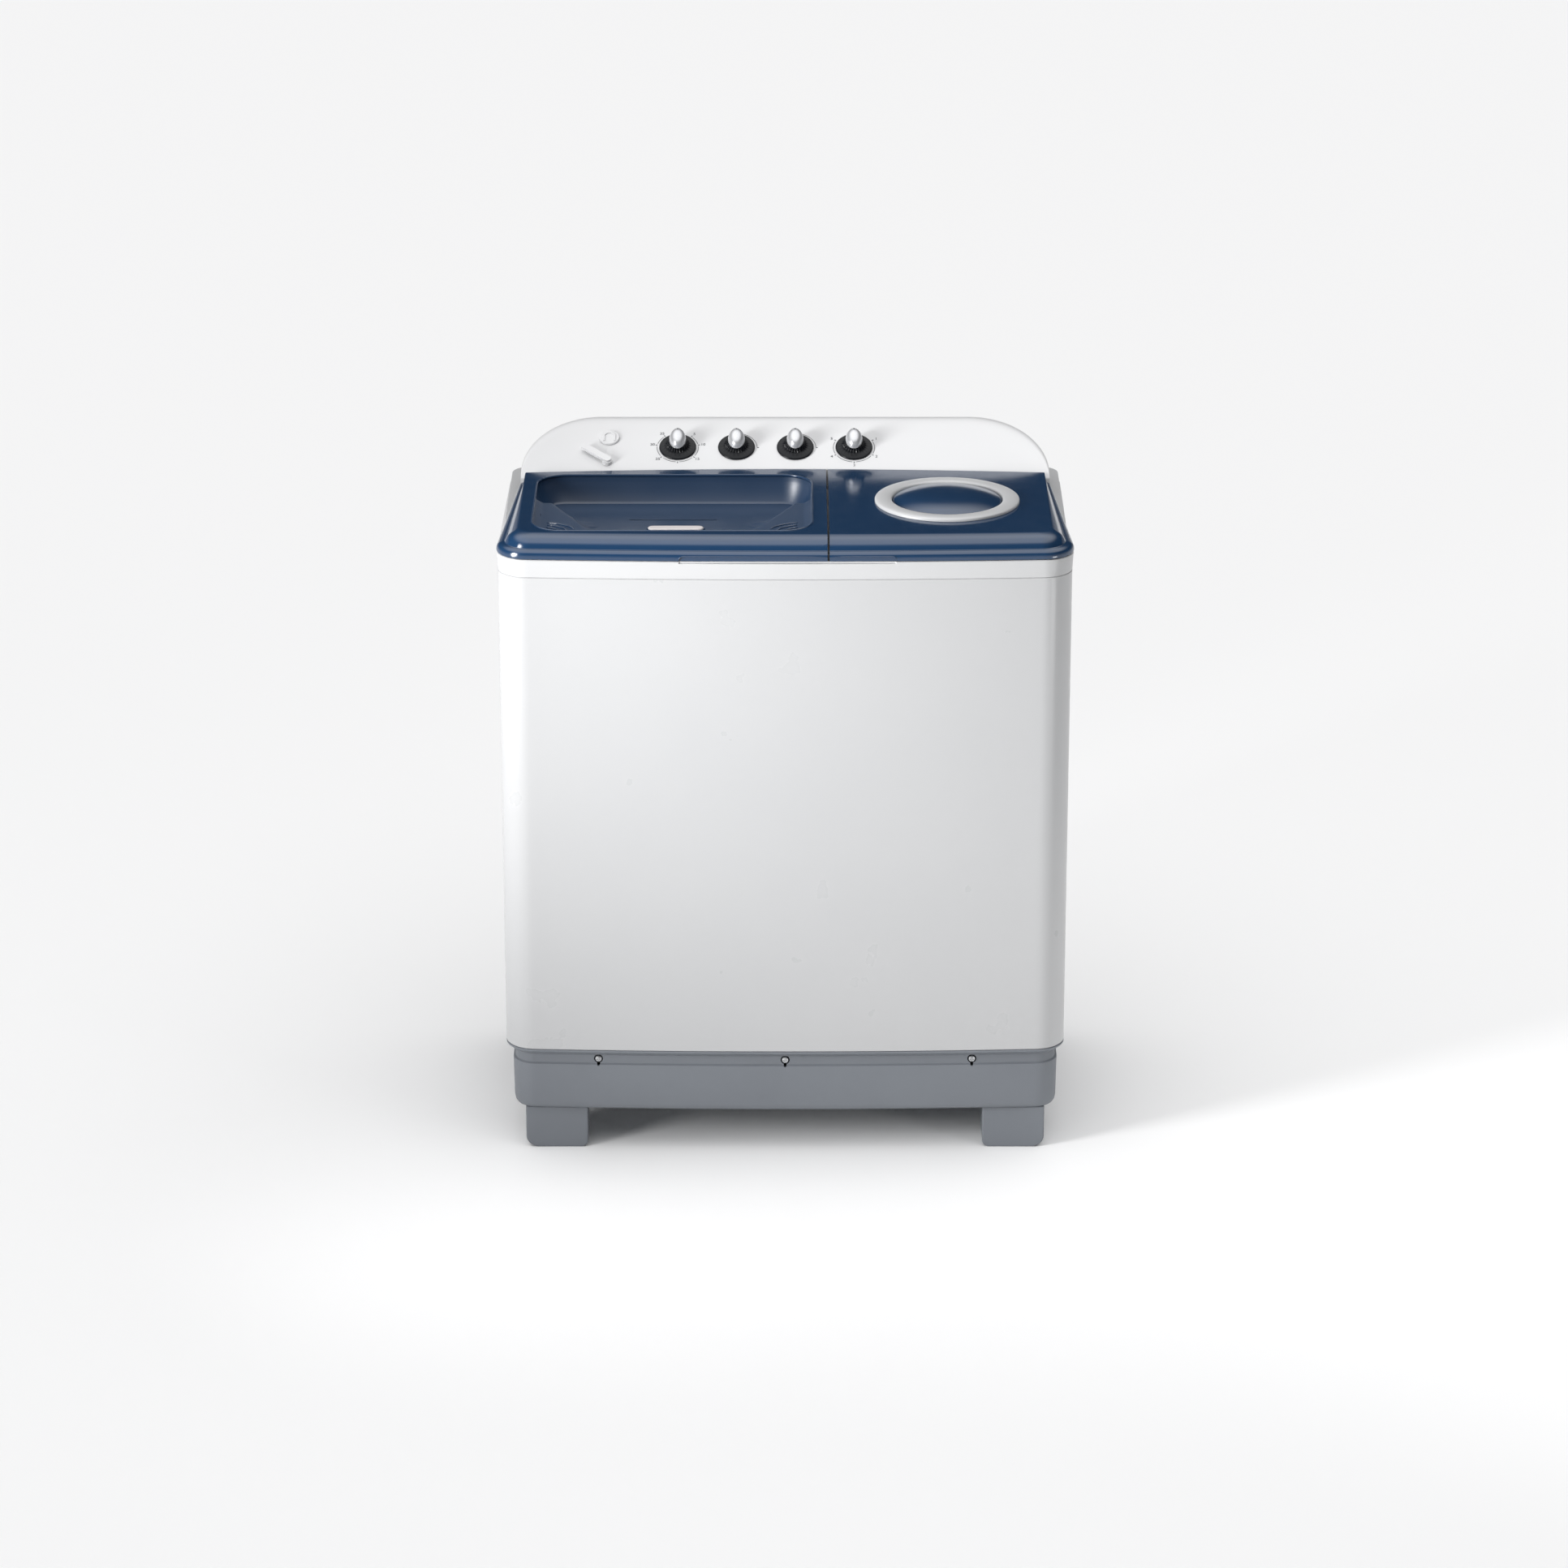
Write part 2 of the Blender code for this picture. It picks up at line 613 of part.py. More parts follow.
def panel_ring(x, skin, bottom):
    """Side profile of the panel at one X. It gets lower and shallower over the rounded shoulders."""
    slope = math.tan(PANEL_ANGLE)
    into = max(0.0, (abs(x) - PANEL_HALF + PANEL_SHOULDER + 2.5 * skin) / PANEL_SHOULDER)
    share = math.sqrt(max(0.0, 1 - into**2))
    foot_y = rear_edge_y(x) + PANEL_FOOT_Y - REAR_EDGE + skin
    foot_z = PANEL_FOOT_Z + slope * (foot_y - PANEL_FOOT_Y) - skin / math.cos(PANEL_ANGLE)
    top = foot_z + 0.004 + (HEIGHT - skin - foot_z - 0.004) * share
    back = foot_y + 0.035 + (BACK - skin - foot_y - 0.035) * share
    slope_end = foot_y + (top - 0.0015 - foot_z) / slope
    drop = top - FRAME_TOP
    profile = (
        (foot_y, bottom),
        (foot_y, foot_z),
        (slope_end, top - 0.0015),
        (slope_end + 0.010, top),
        (back - 0.018, top - 0.06 * drop),
        (back - 0.005, top - 0.22 * drop),
        (back, top - 0.45 * drop),
        (back, bottom),
    )
    return [(x, y, z) for y, z in profile]


def panel_stations(half):
    """X positions across the panel, close together over the shoulders."""
    steps = 9
    straight = PANEL_HALF - PANEL_SHOULDER
    shoulder = half - straight
    right = [straight * step / 4 for step in range(1, 5)]
    for step in range(1, steps + 1):
        right.append(straight + shoulder * math.sin(math.radians(86 * step / steps)))
    return [-x for x in reversed(right)] + [0.0] + right


def make_panel():
    """A hollow hood, open underneath, with a hole for each knob and for the lever."""
    foot = FRAME_TOP + GAP
    outer = [panel_ring(x, 0.0, foot) for x in panel_stations(PANEL_HALF)]
    inside_half = PANEL_HALF - 2.5 * PANEL_SKIN
    inner = [panel_ring(x, PANEL_SKIN, foot - 0.01) for x in panel_stations(inside_half)]
    panel = add_object("control_panel", loft_mesh(outer), "white_plastic")
    boolean(panel, add_object("panel_hollow", loft_mesh(inner)))
    holes = [(KNOB_FIRST_X + KNOB_PITCH * i, KNOB_ALONG, 0.0062) for i in range(4)]
    holes.append((LEVER_X, LEVER_ALONG, 0.0045))
    for i, (x, along, radius) in enumerate(holes):
        hole = rod_mesh(panel_point(x, along, -0.02), panel_point(x, along, 0.02), radius, 20)
        boolean(panel, add_object(f"panel_hole_{i}", hole))


def make_knob(name, x):
    """A skirted dial with its stem, and the silver pointer on it, both on the knob's own axis."""
    centre = panel_point(x, KNOB_ALONG)
    dial = [(0.0, 0.0135), (0.0125, 0.0130), (0.0150, 0.0115), (0.0175, 0.0050), (0.0255, 0.0036)]
    dial += [(DIAL_RADIUS, 0.0022), (DIAL_RADIUS, 0.0006), (0.0050, 0.0006)]
    dial += [(0.0050, -0.0140), (0.0, -0.0140)]
    turned(name + "_dial", "dial_plastic", dial, centre, PANEL_NORMAL, 24)
    bm = bmesh.new()
    bmesh.ops.create_uvsphere(bm, u_segments=16, v_segments=10, radius=1.0)
    middle = panel_point(x, KNOB_ALONG + 0.0035, 0.0140)
    egg = PANEL_TURN @ Matrix.Diagonal((0.0112, 0.0185, 0.0110))
    bm.transform(Matrix.Translation(middle) @ egg.to_4x4())
    flat = panel_point(x, KNOB_ALONG, 0.0138)
    both = bm.verts[:] + bm.edges[:] + bm.faces[:]
    bmesh.ops.bisect_plane(bm, geom=both, plane_co=flat, plane_no=-PANEL_NORMAL, clear_outer=True)
    rim = [edge for edge in bm.edges if edge.is_boundary]
    bmesh.ops.contextual_create(bm, geom=rim)
    add_object(name + "_pointer", bm, "silver_plastic", centre, PANEL_TURN)


def make_water_selector():
    """A flat lever that swings round its hub from one tub's side to the other's, and the inlet's cap."""
    hub = panel_point(LEVER_X, LEVER_ALONG)
    outline = rounded_rectangle(-LEVER_LENGTH, 0.006, -0.0052, 0.0052, 0.0050, 4)
    bm = prism(outline, 0.0048, 0.0094)
    lean = Matrix.Rotation(math.radians(-38), 4, "Z")
    bm.transform(Matrix.Translation(hub) @ PANEL_TURN.to_4x4() @ lean)
    lever = add_object("water_selector_lever", bm, "white_plastic", hub, PANEL_TURN)
    hub_disc = rod_mesh(hub + PANEL_NORMAL * 0.0006, hub + PANEL_NORMAL * 0.0050, 0.0075, 20)
    boolean(lever, add_object("lever_hub", hub_disc), "UNION")
    stem = rod_mesh(hub + PANEL_NORMAL * 0.002, hub - PANEL_NORMAL * 0.010, 0.0038, 16)
    boolean(lever, add_object("lever_stem", stem), "UNION")
    cap = [(0.0, 0.0040), (0.0110, 0.0038), (0.0150, 0.0022), (0.0155, 0.0012), (0.0155, GAP), (0.0, GAP)]
    turned("water_inlet_cap", "white_plastic", cap, panel_point(INLET_X, INLET_ALONG), PANEL_NORMAL, 20)


def make_controls():
    """The timers and switches behind the panel, each square to its knob."""
    sizes = {  # half width, half height, depth
        "wash_timer": (0.024, 0.0175, 0.020),
        "wash_selector_switch": (0.017, 0.0150, 0.014),
        "drain_selector_cam": (0.015, 0.0150, 0.012),
        "spin_timer": (0.022, 0.0175, 0.018),
    }
    for i, (name, (half_x, half_up, deep)) in enumerate(sizes.items()):
        centre = panel_point(KNOB_FIRST_X + KNOB_PITCH * i, KNOB_ALONG)
        bm = box_mesh((-half_x, -half_up, -0.0145 - deep), (half_x, half_up, -0.0145))
        bm.transform(Matrix.Translation(centre) @ PANEL_TURN.to_4x4())
        body = add_object(name, bm, "grey_plastic", centre, PANEL_TURN)
        bevel(body, 0.002, 1)


# ---- wash side -------------------------------------------------------------------------------------
def tub_ring(inset, z):
    x0, x1, y0, y1 = TUB
    outline = rounded_rectangle(x0 + inset, x1 - inset, y0 + inset, y1 - inset, 0.055 - inset)
    return at_height(outline, z)


def make_wash_tub():
    """The tub, open at the top, with the filter that stands in front of its back wall."""
    rings = [
        tub_ring(0.018, TUB_FLOOR),
        tub_ring(0.011, TUB_FLOOR + 0.010),
        tub_ring(0.006, TUB_TOP - 0.003),
        tub_ring(-0.004, TUB_TOP - 0.003),
        tub_ring(-0.004, TUB_TOP),
        tub_ring(0.006 + TUB_WALL, TUB_TOP),
        tub_ring(0.011 + TUB_WALL, TUB_FLOOR + 0.010 + TUB_WALL),
        tub_ring(0.018 + TUB_WALL, TUB_FLOOR + TUB_WALL),
    ]
    tub = add_object("wash_tub", loft_mesh(rings), "tub_plastic")
    for name, x, y, radius in (("shaft", WASH_X, WASH_Y, 0.014), ("drain", DRAIN_X, DRAIN_Y, 0.016)):
        hole = rod_mesh((x, y, TUB_FLOOR - 0.02), (x, y, TUB_FLOOR + 0.03), radius, 20)
        boolean(tub, add_object(f"tub_{name}_hole", hole))
    slab = box_mesh((-0.215, 0.1395, 0.600), (-0.115, 0.1455, 0.820))
    lint_filter = add_object("lint_filter", slab, "tub_plastic")
    bevel(lint_filter, 0.0025, 2)
    for i in range(6):
        z = 0.635 + 0.028 * i
        slot = box_mesh((-0.200, 0.13, z), (-0.130, 0.15, z + 0.008))
        boolean(lint_filter, add_object(f"filter_slot_{i}", slot))


def make_wash_drive():
    """The finned pulsator and all that turns it."""
    floor = TUB_FLOOR + TUB_WALL
    base = floor + 0.0020
    axis = (WASH_X, WASH_Y, 0.0)
    dish = [(0.0, base + 0.034), (0.030, base + 0.032), (0.050, base + 0.020), (0.110, base + 0.010)]
    dish += [(0.155, base + 0.012), (0.165, base + 0.008), (0.165, base), (0.0, base)]
    pulsator = turned("pulsator", "tub_plastic", dish, axis, sides=32)
    for i in range(4):
        bm = box_mesh((0.035, -0.007, base + 0.004), (0.150, 0.007, base + 0.024))
        turn = Matrix.Translation(axis) @ Matrix.Rotation(math.radians(90 * i + 20), 4, "Z")
        bm.transform(turn)
        fin = add_object(f"pulsator_fin_{i}", bm)
        bevel(fin, 0.006, 1)
        boolean(pulsator, fin, "UNION")
    top = base + 0.034 + GAP
    screw = [(0.0, 0.0050), (0.0065, 0.0045), (0.0080, 0.0030), (0.0080, 0.0), (0.0, 0.0)]
    turned("pulsator_screw", "bare_steel", screw, (WASH_X, WASH_Y, top), sides=14)
    shaft = rod_mesh((WASH_X, WASH_Y, PULLEY_Z - 0.020), (WASH_X, WASH_Y, base - GAP), 0.0070, 20)
    add_object("pulsator_shaft", shaft, "bare_steel", axis)
    low, high = PULLEY_Z + 0.018, TUB_FLOOR - GAP
    housing = [(0.0550, high), (0.0550, high - 0.006), (0.0300, high - 0.010), (0.0260, low)]
    housing += [(0.0076, low), (0.0076, high)]
    turned("pulsator_bearing_housing", "zinc_steel", housing, axis, sides=18)
    make_pulleys()
    make_belt()
    make_wash_motor()


def pulley_rim(radius):
    groove = radius - GROOVE_DEPTH
    half = PULLEY_HALF
    rim = [(radius, half), (radius, half - 0.002), (groove, 0.0045), (groove, -0.0045)]
    return rim + [(radius, 0.002 - half), (radius, -half)]


def make_pulleys():
    """The large pulley has a bore for the pulsator's shaft. The small one is solid with its own."""
    bore = 0.0073
    large = pulley_rim(PULLEY_RADIUS) + [(bore, -PULLEY_HALF), (bore, PULLEY_HALF)]
    turned("wash_pulley", "zinc_steel", large, (WASH_X, WASH_Y, PULLEY_Z), sides=28)
    small = [(0.0, 0.013), (0.005, 0.012), (0.005, PULLEY_HALF)]
    small += pulley_rim(MOTOR_PULLEY_RADIUS)
    small += [(0.005, -PULLEY_HALF), (0.005, -0.0190), (0.0, -0.0190)]
    turned("motor_pulley", "zinc_steel", small, (WASH_MOTOR_X, WASH_MOTOR_Y, PULLEY_Z), sides=16)


def belt_outline(offset):
    """Round both pulleys and straight between them, this far out from the grooves."""
    steps = 12
    large = PULLEY_RADIUS - GROOVE_DEPTH + offset
    small = MOTOR_PULLEY_RADIUS - GROOVE_DEPTH + offset
    along = Vector((WASH_MOTOR_X - WASH_X, WASH_MOTOR_Y - WASH_Y))
    heading = math.atan2(along.y, along.x)
    lean = math.acos((large - small) / along.length)
    points = []
    for x, y, radius, start, sweep in (
        (WASH_X, WASH_Y, large, heading + lean, 2 * math.pi - 2 * lean),
        (WASH_MOTOR_X, WASH_MOTOR_Y, small, heading - lean, 2 * lean),
    ):
        for step in range(steps + 1):
            angle = start + sweep * step / steps
            points.append((x + radius * math.cos(angle), y + radius * math.sin(angle)))
    return points


def make_belt():
    inner, outer = 0.0012, 0.0046
    half = 0.0035
    rings = [
        at_height(belt_outline(offset), z)
        for offset, z in (
            (inner, PULLEY_Z - half),
            (outer, PULLEY_Z - half),
            (outer, PULLEY_Z + half),
            (inner, PULLEY_Z + half),
        )
    ]
    add_object("drive_belt", loft_mesh(rings, tube=True), "black_rubber")


def make_wash_motor():
    """The motor, under a plate that hangs from the tub's floor on two posts."""
    x, y = WASH_MOTOR_X, WASH_MOTOR_Y
    bracket_z = PULLEY_Z - 0.0170
    outline = rounded_rectangle(-0.370, -0.095, -0.098, 0.160, 0.020, 3)
    bracket = add_object("motor_bracket", prism(outline, bracket_z - 0.003, bracket_z), "zinc_steel")
    for i, (px, py) in enumerate(((-0.352, -0.080), (-0.113, 0.142))):
        post = rod_mesh((px, py, bracket_z - 0.002), (px, py, TUB_FLOOR - GAP), 0.006, 12)
        boolean(bracket, add_object(f"bracket_post_{i}", post), "UNION")
    for i, (cx, cy, radius) in enumerate(((WASH_X, WASH_Y, 0.012), (x, y, 0.008))):
        hole = rod_mesh((cx, cy, bracket_z - 0.02), (cx, cy, bracket_z + 0.01), radius, 20)
        boolean(bracket, add_object(f"bracket_hole_{i}", hole))
    top = bracket_z - 0.003 - GAP
    body = [(0.0, top), (0.030, top), (0.058, top - 0.010), (0.062, top - 0.020), (0.062, top - 0.095)]
    body += [(0.056, top - 0.110), (0.0, top - 0.112)]
    turned("wash_motor", "zinc_steel", body, (x, y, 0.0), sides=20)


# ---- drain -----------------------------------------------------------------------------------------
def make_drain():
    """The valve under the tub, its rubber stem, and the outlet spigot at the back."""
    high = TUB_FLOOR - GAP
    low = high - 0.060
    body = [(0.0300, high), (0.0300, high - 0.004), (0.0230, high - 0.006), (0.0230, low), (0.0060, low)]
    body += [(0.0060, low + 0.004), (0.0200, low + 0.006), (0.0200, high)]
    turned("drain_valve", "tub_plastic", body, (DRAIN_X, DRAIN_Y, 0.0), sides=18)
    stem = [(0.0, high - 0.010), (0.0165, high - 0.012), (0.0165, high - 0.018), (0.0040, high - 0.020)]
    stem += [(0.0040, low - 0.016), (0.0, low - 0.016)]
    turned("drain_valve_stem", "black_rubber", stem, (DRAIN_X, DRAIN_Y, 0.0), sides=14)
    outlet = [(0.0145, 0.0), (0.0145, -0.060), (0.0115, -0.060), (0.0115, 0.0)]
    place = (OUTLET[0], BACK - 0.0005, OUTLET[1])
    turned("drain_outlet", "grey_plastic", outlet, place, (0, 1, 0), 18)


# ---- spin side -------------------------------------------------------------------------------------
def make_spin_tubs():
    """The outer tub, the basket in it, and the brake drum that is one piece with the basket's shaft."""
    axis = (SPIN_X, SPIN_Y, 0.0)
    top = DECK_BOTTOM - GAP
    wall = 0.0030
    low = SPIN_TUB_FLOOR
    outer = [(0.1560, top), (0.1560, top - 0.003), (0.1510, top - 0.003), (0.1470, low + 0.012)]
    outer += [(0.1400, low), (0.0200, low), (0.0200, low + wall), (0.1390, low + wall)]
    outer += [(0.1440, low + 0.012 + wall), (0.1480, top)]
    turned("spin_outer_tub", "tub_plastic", outer, axis, sides=28)
    floor = SPIN_TUB_FLOOR + 0.020
    rim = top - 0.020
    basket = [(0.0, floor + 0.003), (0.1180, floor + 0.003), (0.1245, floor + 0.010), (0.1245, rim)]
    basket += [(0.1300, rim), (0.1300, rim - 0.006), (0.1265, rim - 0.008), (0.1265, floor + 0.008)]
    basket += [(0.1200, floor), (0.0250, floor), (0.0200, floor - 0.012), (0.0, floor - 0.012)]
    turned("spin_basket", "bare_steel", basket, axis, sides=28)
    shaft_top = floor - 0.012 - GAP
    drum = [(0.0, shaft_top), (0.0075, shaft_top), (0.0075, DRUM_Z + 0.022), (0.0600, DRUM_Z + 0.022)]
    drum += [(0.0620, DRUM_Z + 0.020), (0.0620, DRUM_Z - 0.010), (0.0580, DRUM_Z - 0.010)]
    drum += [(0.0580, DRUM_Z + 0.016), (0.0150, DRUM_Z + 0.016), (0.0150, DRUM_Z - 0.010)]
    drum.append((0.0070, DRUM_Z - 0.012))
    drum += [(0.0070, PLATE_Z + 0.1330), (0.0, PLATE_Z + 0.1330)]
    turned("brake_drum", "zinc_steel", drum, axis, sides=20)
    bearing = [(0.0450, low - GAP), (0.0450, low - 0.006), (0.0280, low - 0.012), (0.0240, low - 0.050)]
    bearing += [(0.0081, low - 0.050), (0.0081, low - GAP)]
    turned("spin_bearing", "black_rubber", bearing, axis, sides=16)


def make_spin_motor():
    low = PLATE_Z + 0.0035
    body = [(0.0, low + 0.1290), (0.025, low + 0.1290), (0.058, low + 0.112), (0.064, low + 0.100)]
    body += [(0.064, low + 0.018), (0.056, low + 0.006), (0.088, low + 0.0015), (0.088, low - 0.0015)]
    body += [(0.0, low - 0.0015)]
    turned("spin_motor", "zinc_steel", body, (SPIN_X, SPIN_Y, 0.0), sides=20)
    spring_low = BASE_BOTTOM + 0.0070
    spring_high = PLATE_Z - 0.0010
    for i in range(3):
        angle = math.radians(90 + 120 * i)
        x, y = SPIN_X + 0.070 * math.cos(angle), SPIN_Y + 0.070 * math.sin(angle)
        make_spring(f"motor_spring_{i + 1}", x, y, spring_low, spring_high)


def make_spring(name, x, y, low, high):
    """A coil spring: a helix whose wire is a curve's bevel."""
    radius = 0.013
    wire = 0.0020
    turns, per_turn = 4, 8
    curve = bpy.data.curves.new(name, "CURVE")
    curve.dimensions = "3D"
    curve.bevel_depth = wire
    curve.bevel_resolution = 1
    curve.use_fill_caps = True
    spline = curve.splines.new("POLY")
    count = turns * per_turn
    spline.points.add(count)
    for i, point in enumerate(spline.points):
        angle = 2 * math.pi * i / per_turn
        height = low + (high - low) * i / count
        point.co = (radius * math.cos(angle), radius * math.sin(angle), height, 1.0)
    obj = bpy.data.objects.new(name, curve)
    obj.location = (x, y, 0.0)
    link(obj, "bare_steel")


def make_brake():
    """A lever on a pin beside the drum, with a shoe on its side. It swings away from the drum."""
    px, py = BRAKE_PIVOT
    z = DRUM_Z
    arm = rounded_rectangle(px - 0.006, px + 0.006, py - 0.075, py + 0.050, 0.0058, 3)
    lever = add_object("brake_lever", prism(arm, z + 0.003, z + 0.008), "zinc_steel", (px, py, z))
    shoe = rounded_rectangle(px - 0.0130, px - 0.002, SPIN_Y - 0.014, SPIN_Y + 0.014, 0.002, 2)
    boolean(lever, add_object("brake_shoe", prism(shoe, z - 0.004, z + 0.0070)), "UNION")
    bore = rod_mesh((px, py, z - 0.02), (px, py, z + 0.02), 0.0033, 16)
    boolean(lever, add_object("brake_lever_bore", bore))
    plate = rounded_rectangle(px - 0.014, px + 0.030, py - 0.020, py + 0.020, 0.004, 2)
    bracket = add_object("brake_bracket", prism(plate, z + 0.0085, z + 0.0110), "zinc_steel")
    pin = rod_mesh((px, py, z - 0.002), (px, py, z + 0.0100), 0.0030, 16)
    boolean(bracket, add_object("brake_pin", pin), "UNION")
    tub_floor = SPIN_TUB_FLOOR - GAP
    hanger = box_mesh((px + 0.022, py - 0.010, z + 0.0090), (px + 0.026, py + 0.010, tub_floor))
    boolean(bracket, add_object("brake_hanger", hanger), "UNION")


def main():
    global PARTS, CUTTERS
    clear_scene()
    PARTS = new_collection("twin_tub_washer")
    CUTTERS = new_collection("cutters")
    make_base()
    make_feet()
    make_cabinet()
    make_top_frame()
    make_wash_lid()
    make_tray_tab()
    make_spin_lid()
    make_safety_cover()
    make_panel()
    for i, name in enumerate(("wash_timer", "wash_selector", "drain_selector", "spin_timer")):
        make_knob(name, KNOB_FIRST_X + KNOB_PITCH * i)
    make_water_selector()
    make_controls()
    make_wash_tub()
    make_wash_drive()
    make_drain()
    make_spin_tubs()
    make_spin_motor()
    make_brake()


main()
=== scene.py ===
"""Looks of the twin tub washer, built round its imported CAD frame. Metres, +Z up, front at -Y."""

import json
import math

import bmesh
import bpy
from mathutils import Matrix, Vector


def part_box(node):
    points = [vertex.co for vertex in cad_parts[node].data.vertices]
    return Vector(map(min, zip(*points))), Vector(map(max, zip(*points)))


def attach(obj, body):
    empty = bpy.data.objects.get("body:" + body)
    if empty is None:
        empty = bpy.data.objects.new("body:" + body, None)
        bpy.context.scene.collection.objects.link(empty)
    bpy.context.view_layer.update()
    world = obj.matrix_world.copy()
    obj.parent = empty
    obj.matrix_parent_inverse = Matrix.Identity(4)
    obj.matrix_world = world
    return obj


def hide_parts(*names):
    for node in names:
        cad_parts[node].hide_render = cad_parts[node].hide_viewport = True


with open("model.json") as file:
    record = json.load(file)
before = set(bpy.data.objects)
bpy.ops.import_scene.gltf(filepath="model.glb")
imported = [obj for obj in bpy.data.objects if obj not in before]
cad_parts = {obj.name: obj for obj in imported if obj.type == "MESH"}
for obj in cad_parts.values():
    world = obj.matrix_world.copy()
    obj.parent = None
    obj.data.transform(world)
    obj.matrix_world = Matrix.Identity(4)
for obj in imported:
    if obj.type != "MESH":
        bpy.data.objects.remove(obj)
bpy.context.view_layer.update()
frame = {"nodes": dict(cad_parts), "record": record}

NODES = frame["nodes"]


# ---- places read from the frame --------------------------------------------------------------------
def low(node):
    return Vector(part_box(node)[0])


def high(node):
    return Vector(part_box(node)[1])


def joint(name):
    return next(j for j in frame["record"]["behaviour"]["joints"] if j["name"] == name)


CABINET_LOW, CABINET_HIGH = low("cabinet"), high("cabinet")
HALF = high("spin_lid").x
FRONT = low("wash_lid").y
BACK = high("control_panel").y
FRAME_LOW = low("top_frame").z
LID_LOW = low("wash_lid").z
LID_TOP = high("wash_lid").z
FRAME_TOP = LID_LOW - 0.0008
DECK_TOP = low("safety_cover").z - 0.0008
DIVIDER_X = (high("wash_lid").x + low("spin_lid").x) / 2
LID_GAP = low("spin_lid").x - high("wash_lid").x
REAR_EDGE = high("wash_lid").y
HINGE = Vector(joint("wash_lid_hinge")["pos_m"])
BODY = "cabinet_body"

FRONT_BOW = 0.012
CORNER = 0.047
REAR_CORNER = 0.030
BODY_INSET = HALF - CABINET_HIGH.x
TAPERED_REAR = 0.384
LID_SLOPE = 0.016
REAR_SAG = 0.018
PANEL_HALF = 0.392
GRIP_LEFT = -0.1525
GRIP_RIGHT = 0.1595


# ---- mesh helpers ----------------------------------------------------------------------------------
def new_object(name, mesh, material, body=BODY, replaced=(), smooth=35):
    if smooth:
        mesh.shade_smooth()
        mesh.set_sharp_from_angle(angle=math.radians(smooth))
    obj = bpy.data.objects.new(name, mesh)
    bpy.context.scene.collection.objects.link(obj)
    if material is not None:
        mesh.materials.append(material)
        if body is not None:
            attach(obj, body)
    if replaced:
        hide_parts(*replaced)
    return obj


def mesh_of(bm, name, recalc=True):
    if recalc:
        bmesh.ops.recalc_face_normals(bm, faces=bm.faces)
    mesh = bpy.data.meshes.new(name)
    bm.to_mesh(mesh)
    bm.free()
    return mesh


def loft(sections, tube=False, caps=True):
    """Rings of points joined in order. A tube's last ring joins its first, otherwise the ends are capped."""
    bm = bmesh.new()
    rings = [[bm.verts.new(point) for point in section] for section in sections]
    for one, two in zip(rings, rings[1:] + rings[:1] if tube else rings[1:]):
        for i in range(len(one)):
            j = (i + 1) % len(one)
            bm.faces.new((one[i], one[j], two[j], two[i]))
    if caps and not tube:
        bm.faces.new(rings[0])
        bm.faces.new(rings[-1])
    return bm


def lathe(profile, origin, axis=(0, 0, 1), sides=96, closed=False):
    """A turned surface through (radius, height) points. Points on the axis close it."""
    turn = Vector(axis).to_track_quat("Z", "Y").to_matrix().to_4x4()
    place = Matrix.Translation(origin) @ turn
    bm = bmesh.new()
    rings = []
    for radius, height in profile:
        if radius < 1e-6:
            rings.append([bm.verts.new(place @ Vector((0, 0, height)))])
            continue
        ring = []
        for i in range(sides):
            angle = 2 * math.pi * i / sides
            point = Vector((radius * math.cos(angle), radius * math.sin(angle), height))
            ring.append(bm.verts.new(place @ point))
        rings.append(ring)
    pairs = list(zip(rings, rings[1:]))
    if closed:
        pairs.append((rings[-1], rings[0]))
    for one, two in pairs:
        for i in range(sides):
            j = (i + 1) % sides
            corners = [one[i % len(one)], one[j % len(one)], two[j % len(two)], two[i % len(two)]]
            unique = list(dict.fromkeys(corners))
            if len(unique) > 2:
                bm.faces.new(unique)
    return bm


def box(lowest, highest):
    bm = bmesh.new()
    lowest, highest = Vector(lowest), Vector(highest)
    size = highest - lowest
    place = Matrix.Translation((lowest + highest) / 2) @ Matrix.Diagonal((*size, 1.0))
    bmesh.ops.create_cube(bm, size=1.0, matrix=place)
    return bm


def rod(start, end, radius, sides=48):
    start, end = Vector(start), Vector(end)
    along = end - start
    turn = along.to_track_quat("Z", "Y").to_matrix().to_4x4()
    bm = bmesh.new()
    place = Matrix.Translation((start + end) / 2) @ turn
    bmesh.ops.create_cone(
        bm, cap_ends=True, segments=sides, radius1=radius, radius2=radius, depth=along.length, matrix=place
    )
    return bm


def cut(obj, *cutters, operation="DIFFERENCE", solver="EXACT"):
    """Applies Booleans with these bmeshes, which are used up."""
    for bm in cutters:
        tool = new_object("tool", mesh_of(bm, "tool"), None, None, smooth=0)
        modifier = obj.modifiers.new("cut", "BOOLEAN")
        modifier.operation = operation
        modifier.solver = solver
        modifier.object = tool
        apply_modifiers(obj)
        bpy.data.objects.remove(tool, do_unlink=True)


def apply_modifiers(obj):
    graph = bpy.context.evaluated_depsgraph_get()
    graph.update()
    mesh = bpy.data.meshes.new_from_object(obj.evaluated_get(graph), depsgraph=graph)
    old = obj.data
    obj.modifiers.clear()
    obj.data = mesh
    bpy.data.meshes.remove(old)


def soften(obj, width, segments=3, angle=35):
    """Rounded edges with flat faces that keep their own shading."""
    bevel = obj.modifiers.new("bevel", "BEVEL")
    bevel.width = width
    bevel.segments = segments
    bevel.limit_method = "ANGLE"
    bevel.angle_limit = math.radians(angle)
    bevel.harden_normals = False
    weighted = obj.modifiers.new("weighted", "WEIGHTED_NORMAL")
    weighted.keep_sharp = True
    apply_modifiers(obj)


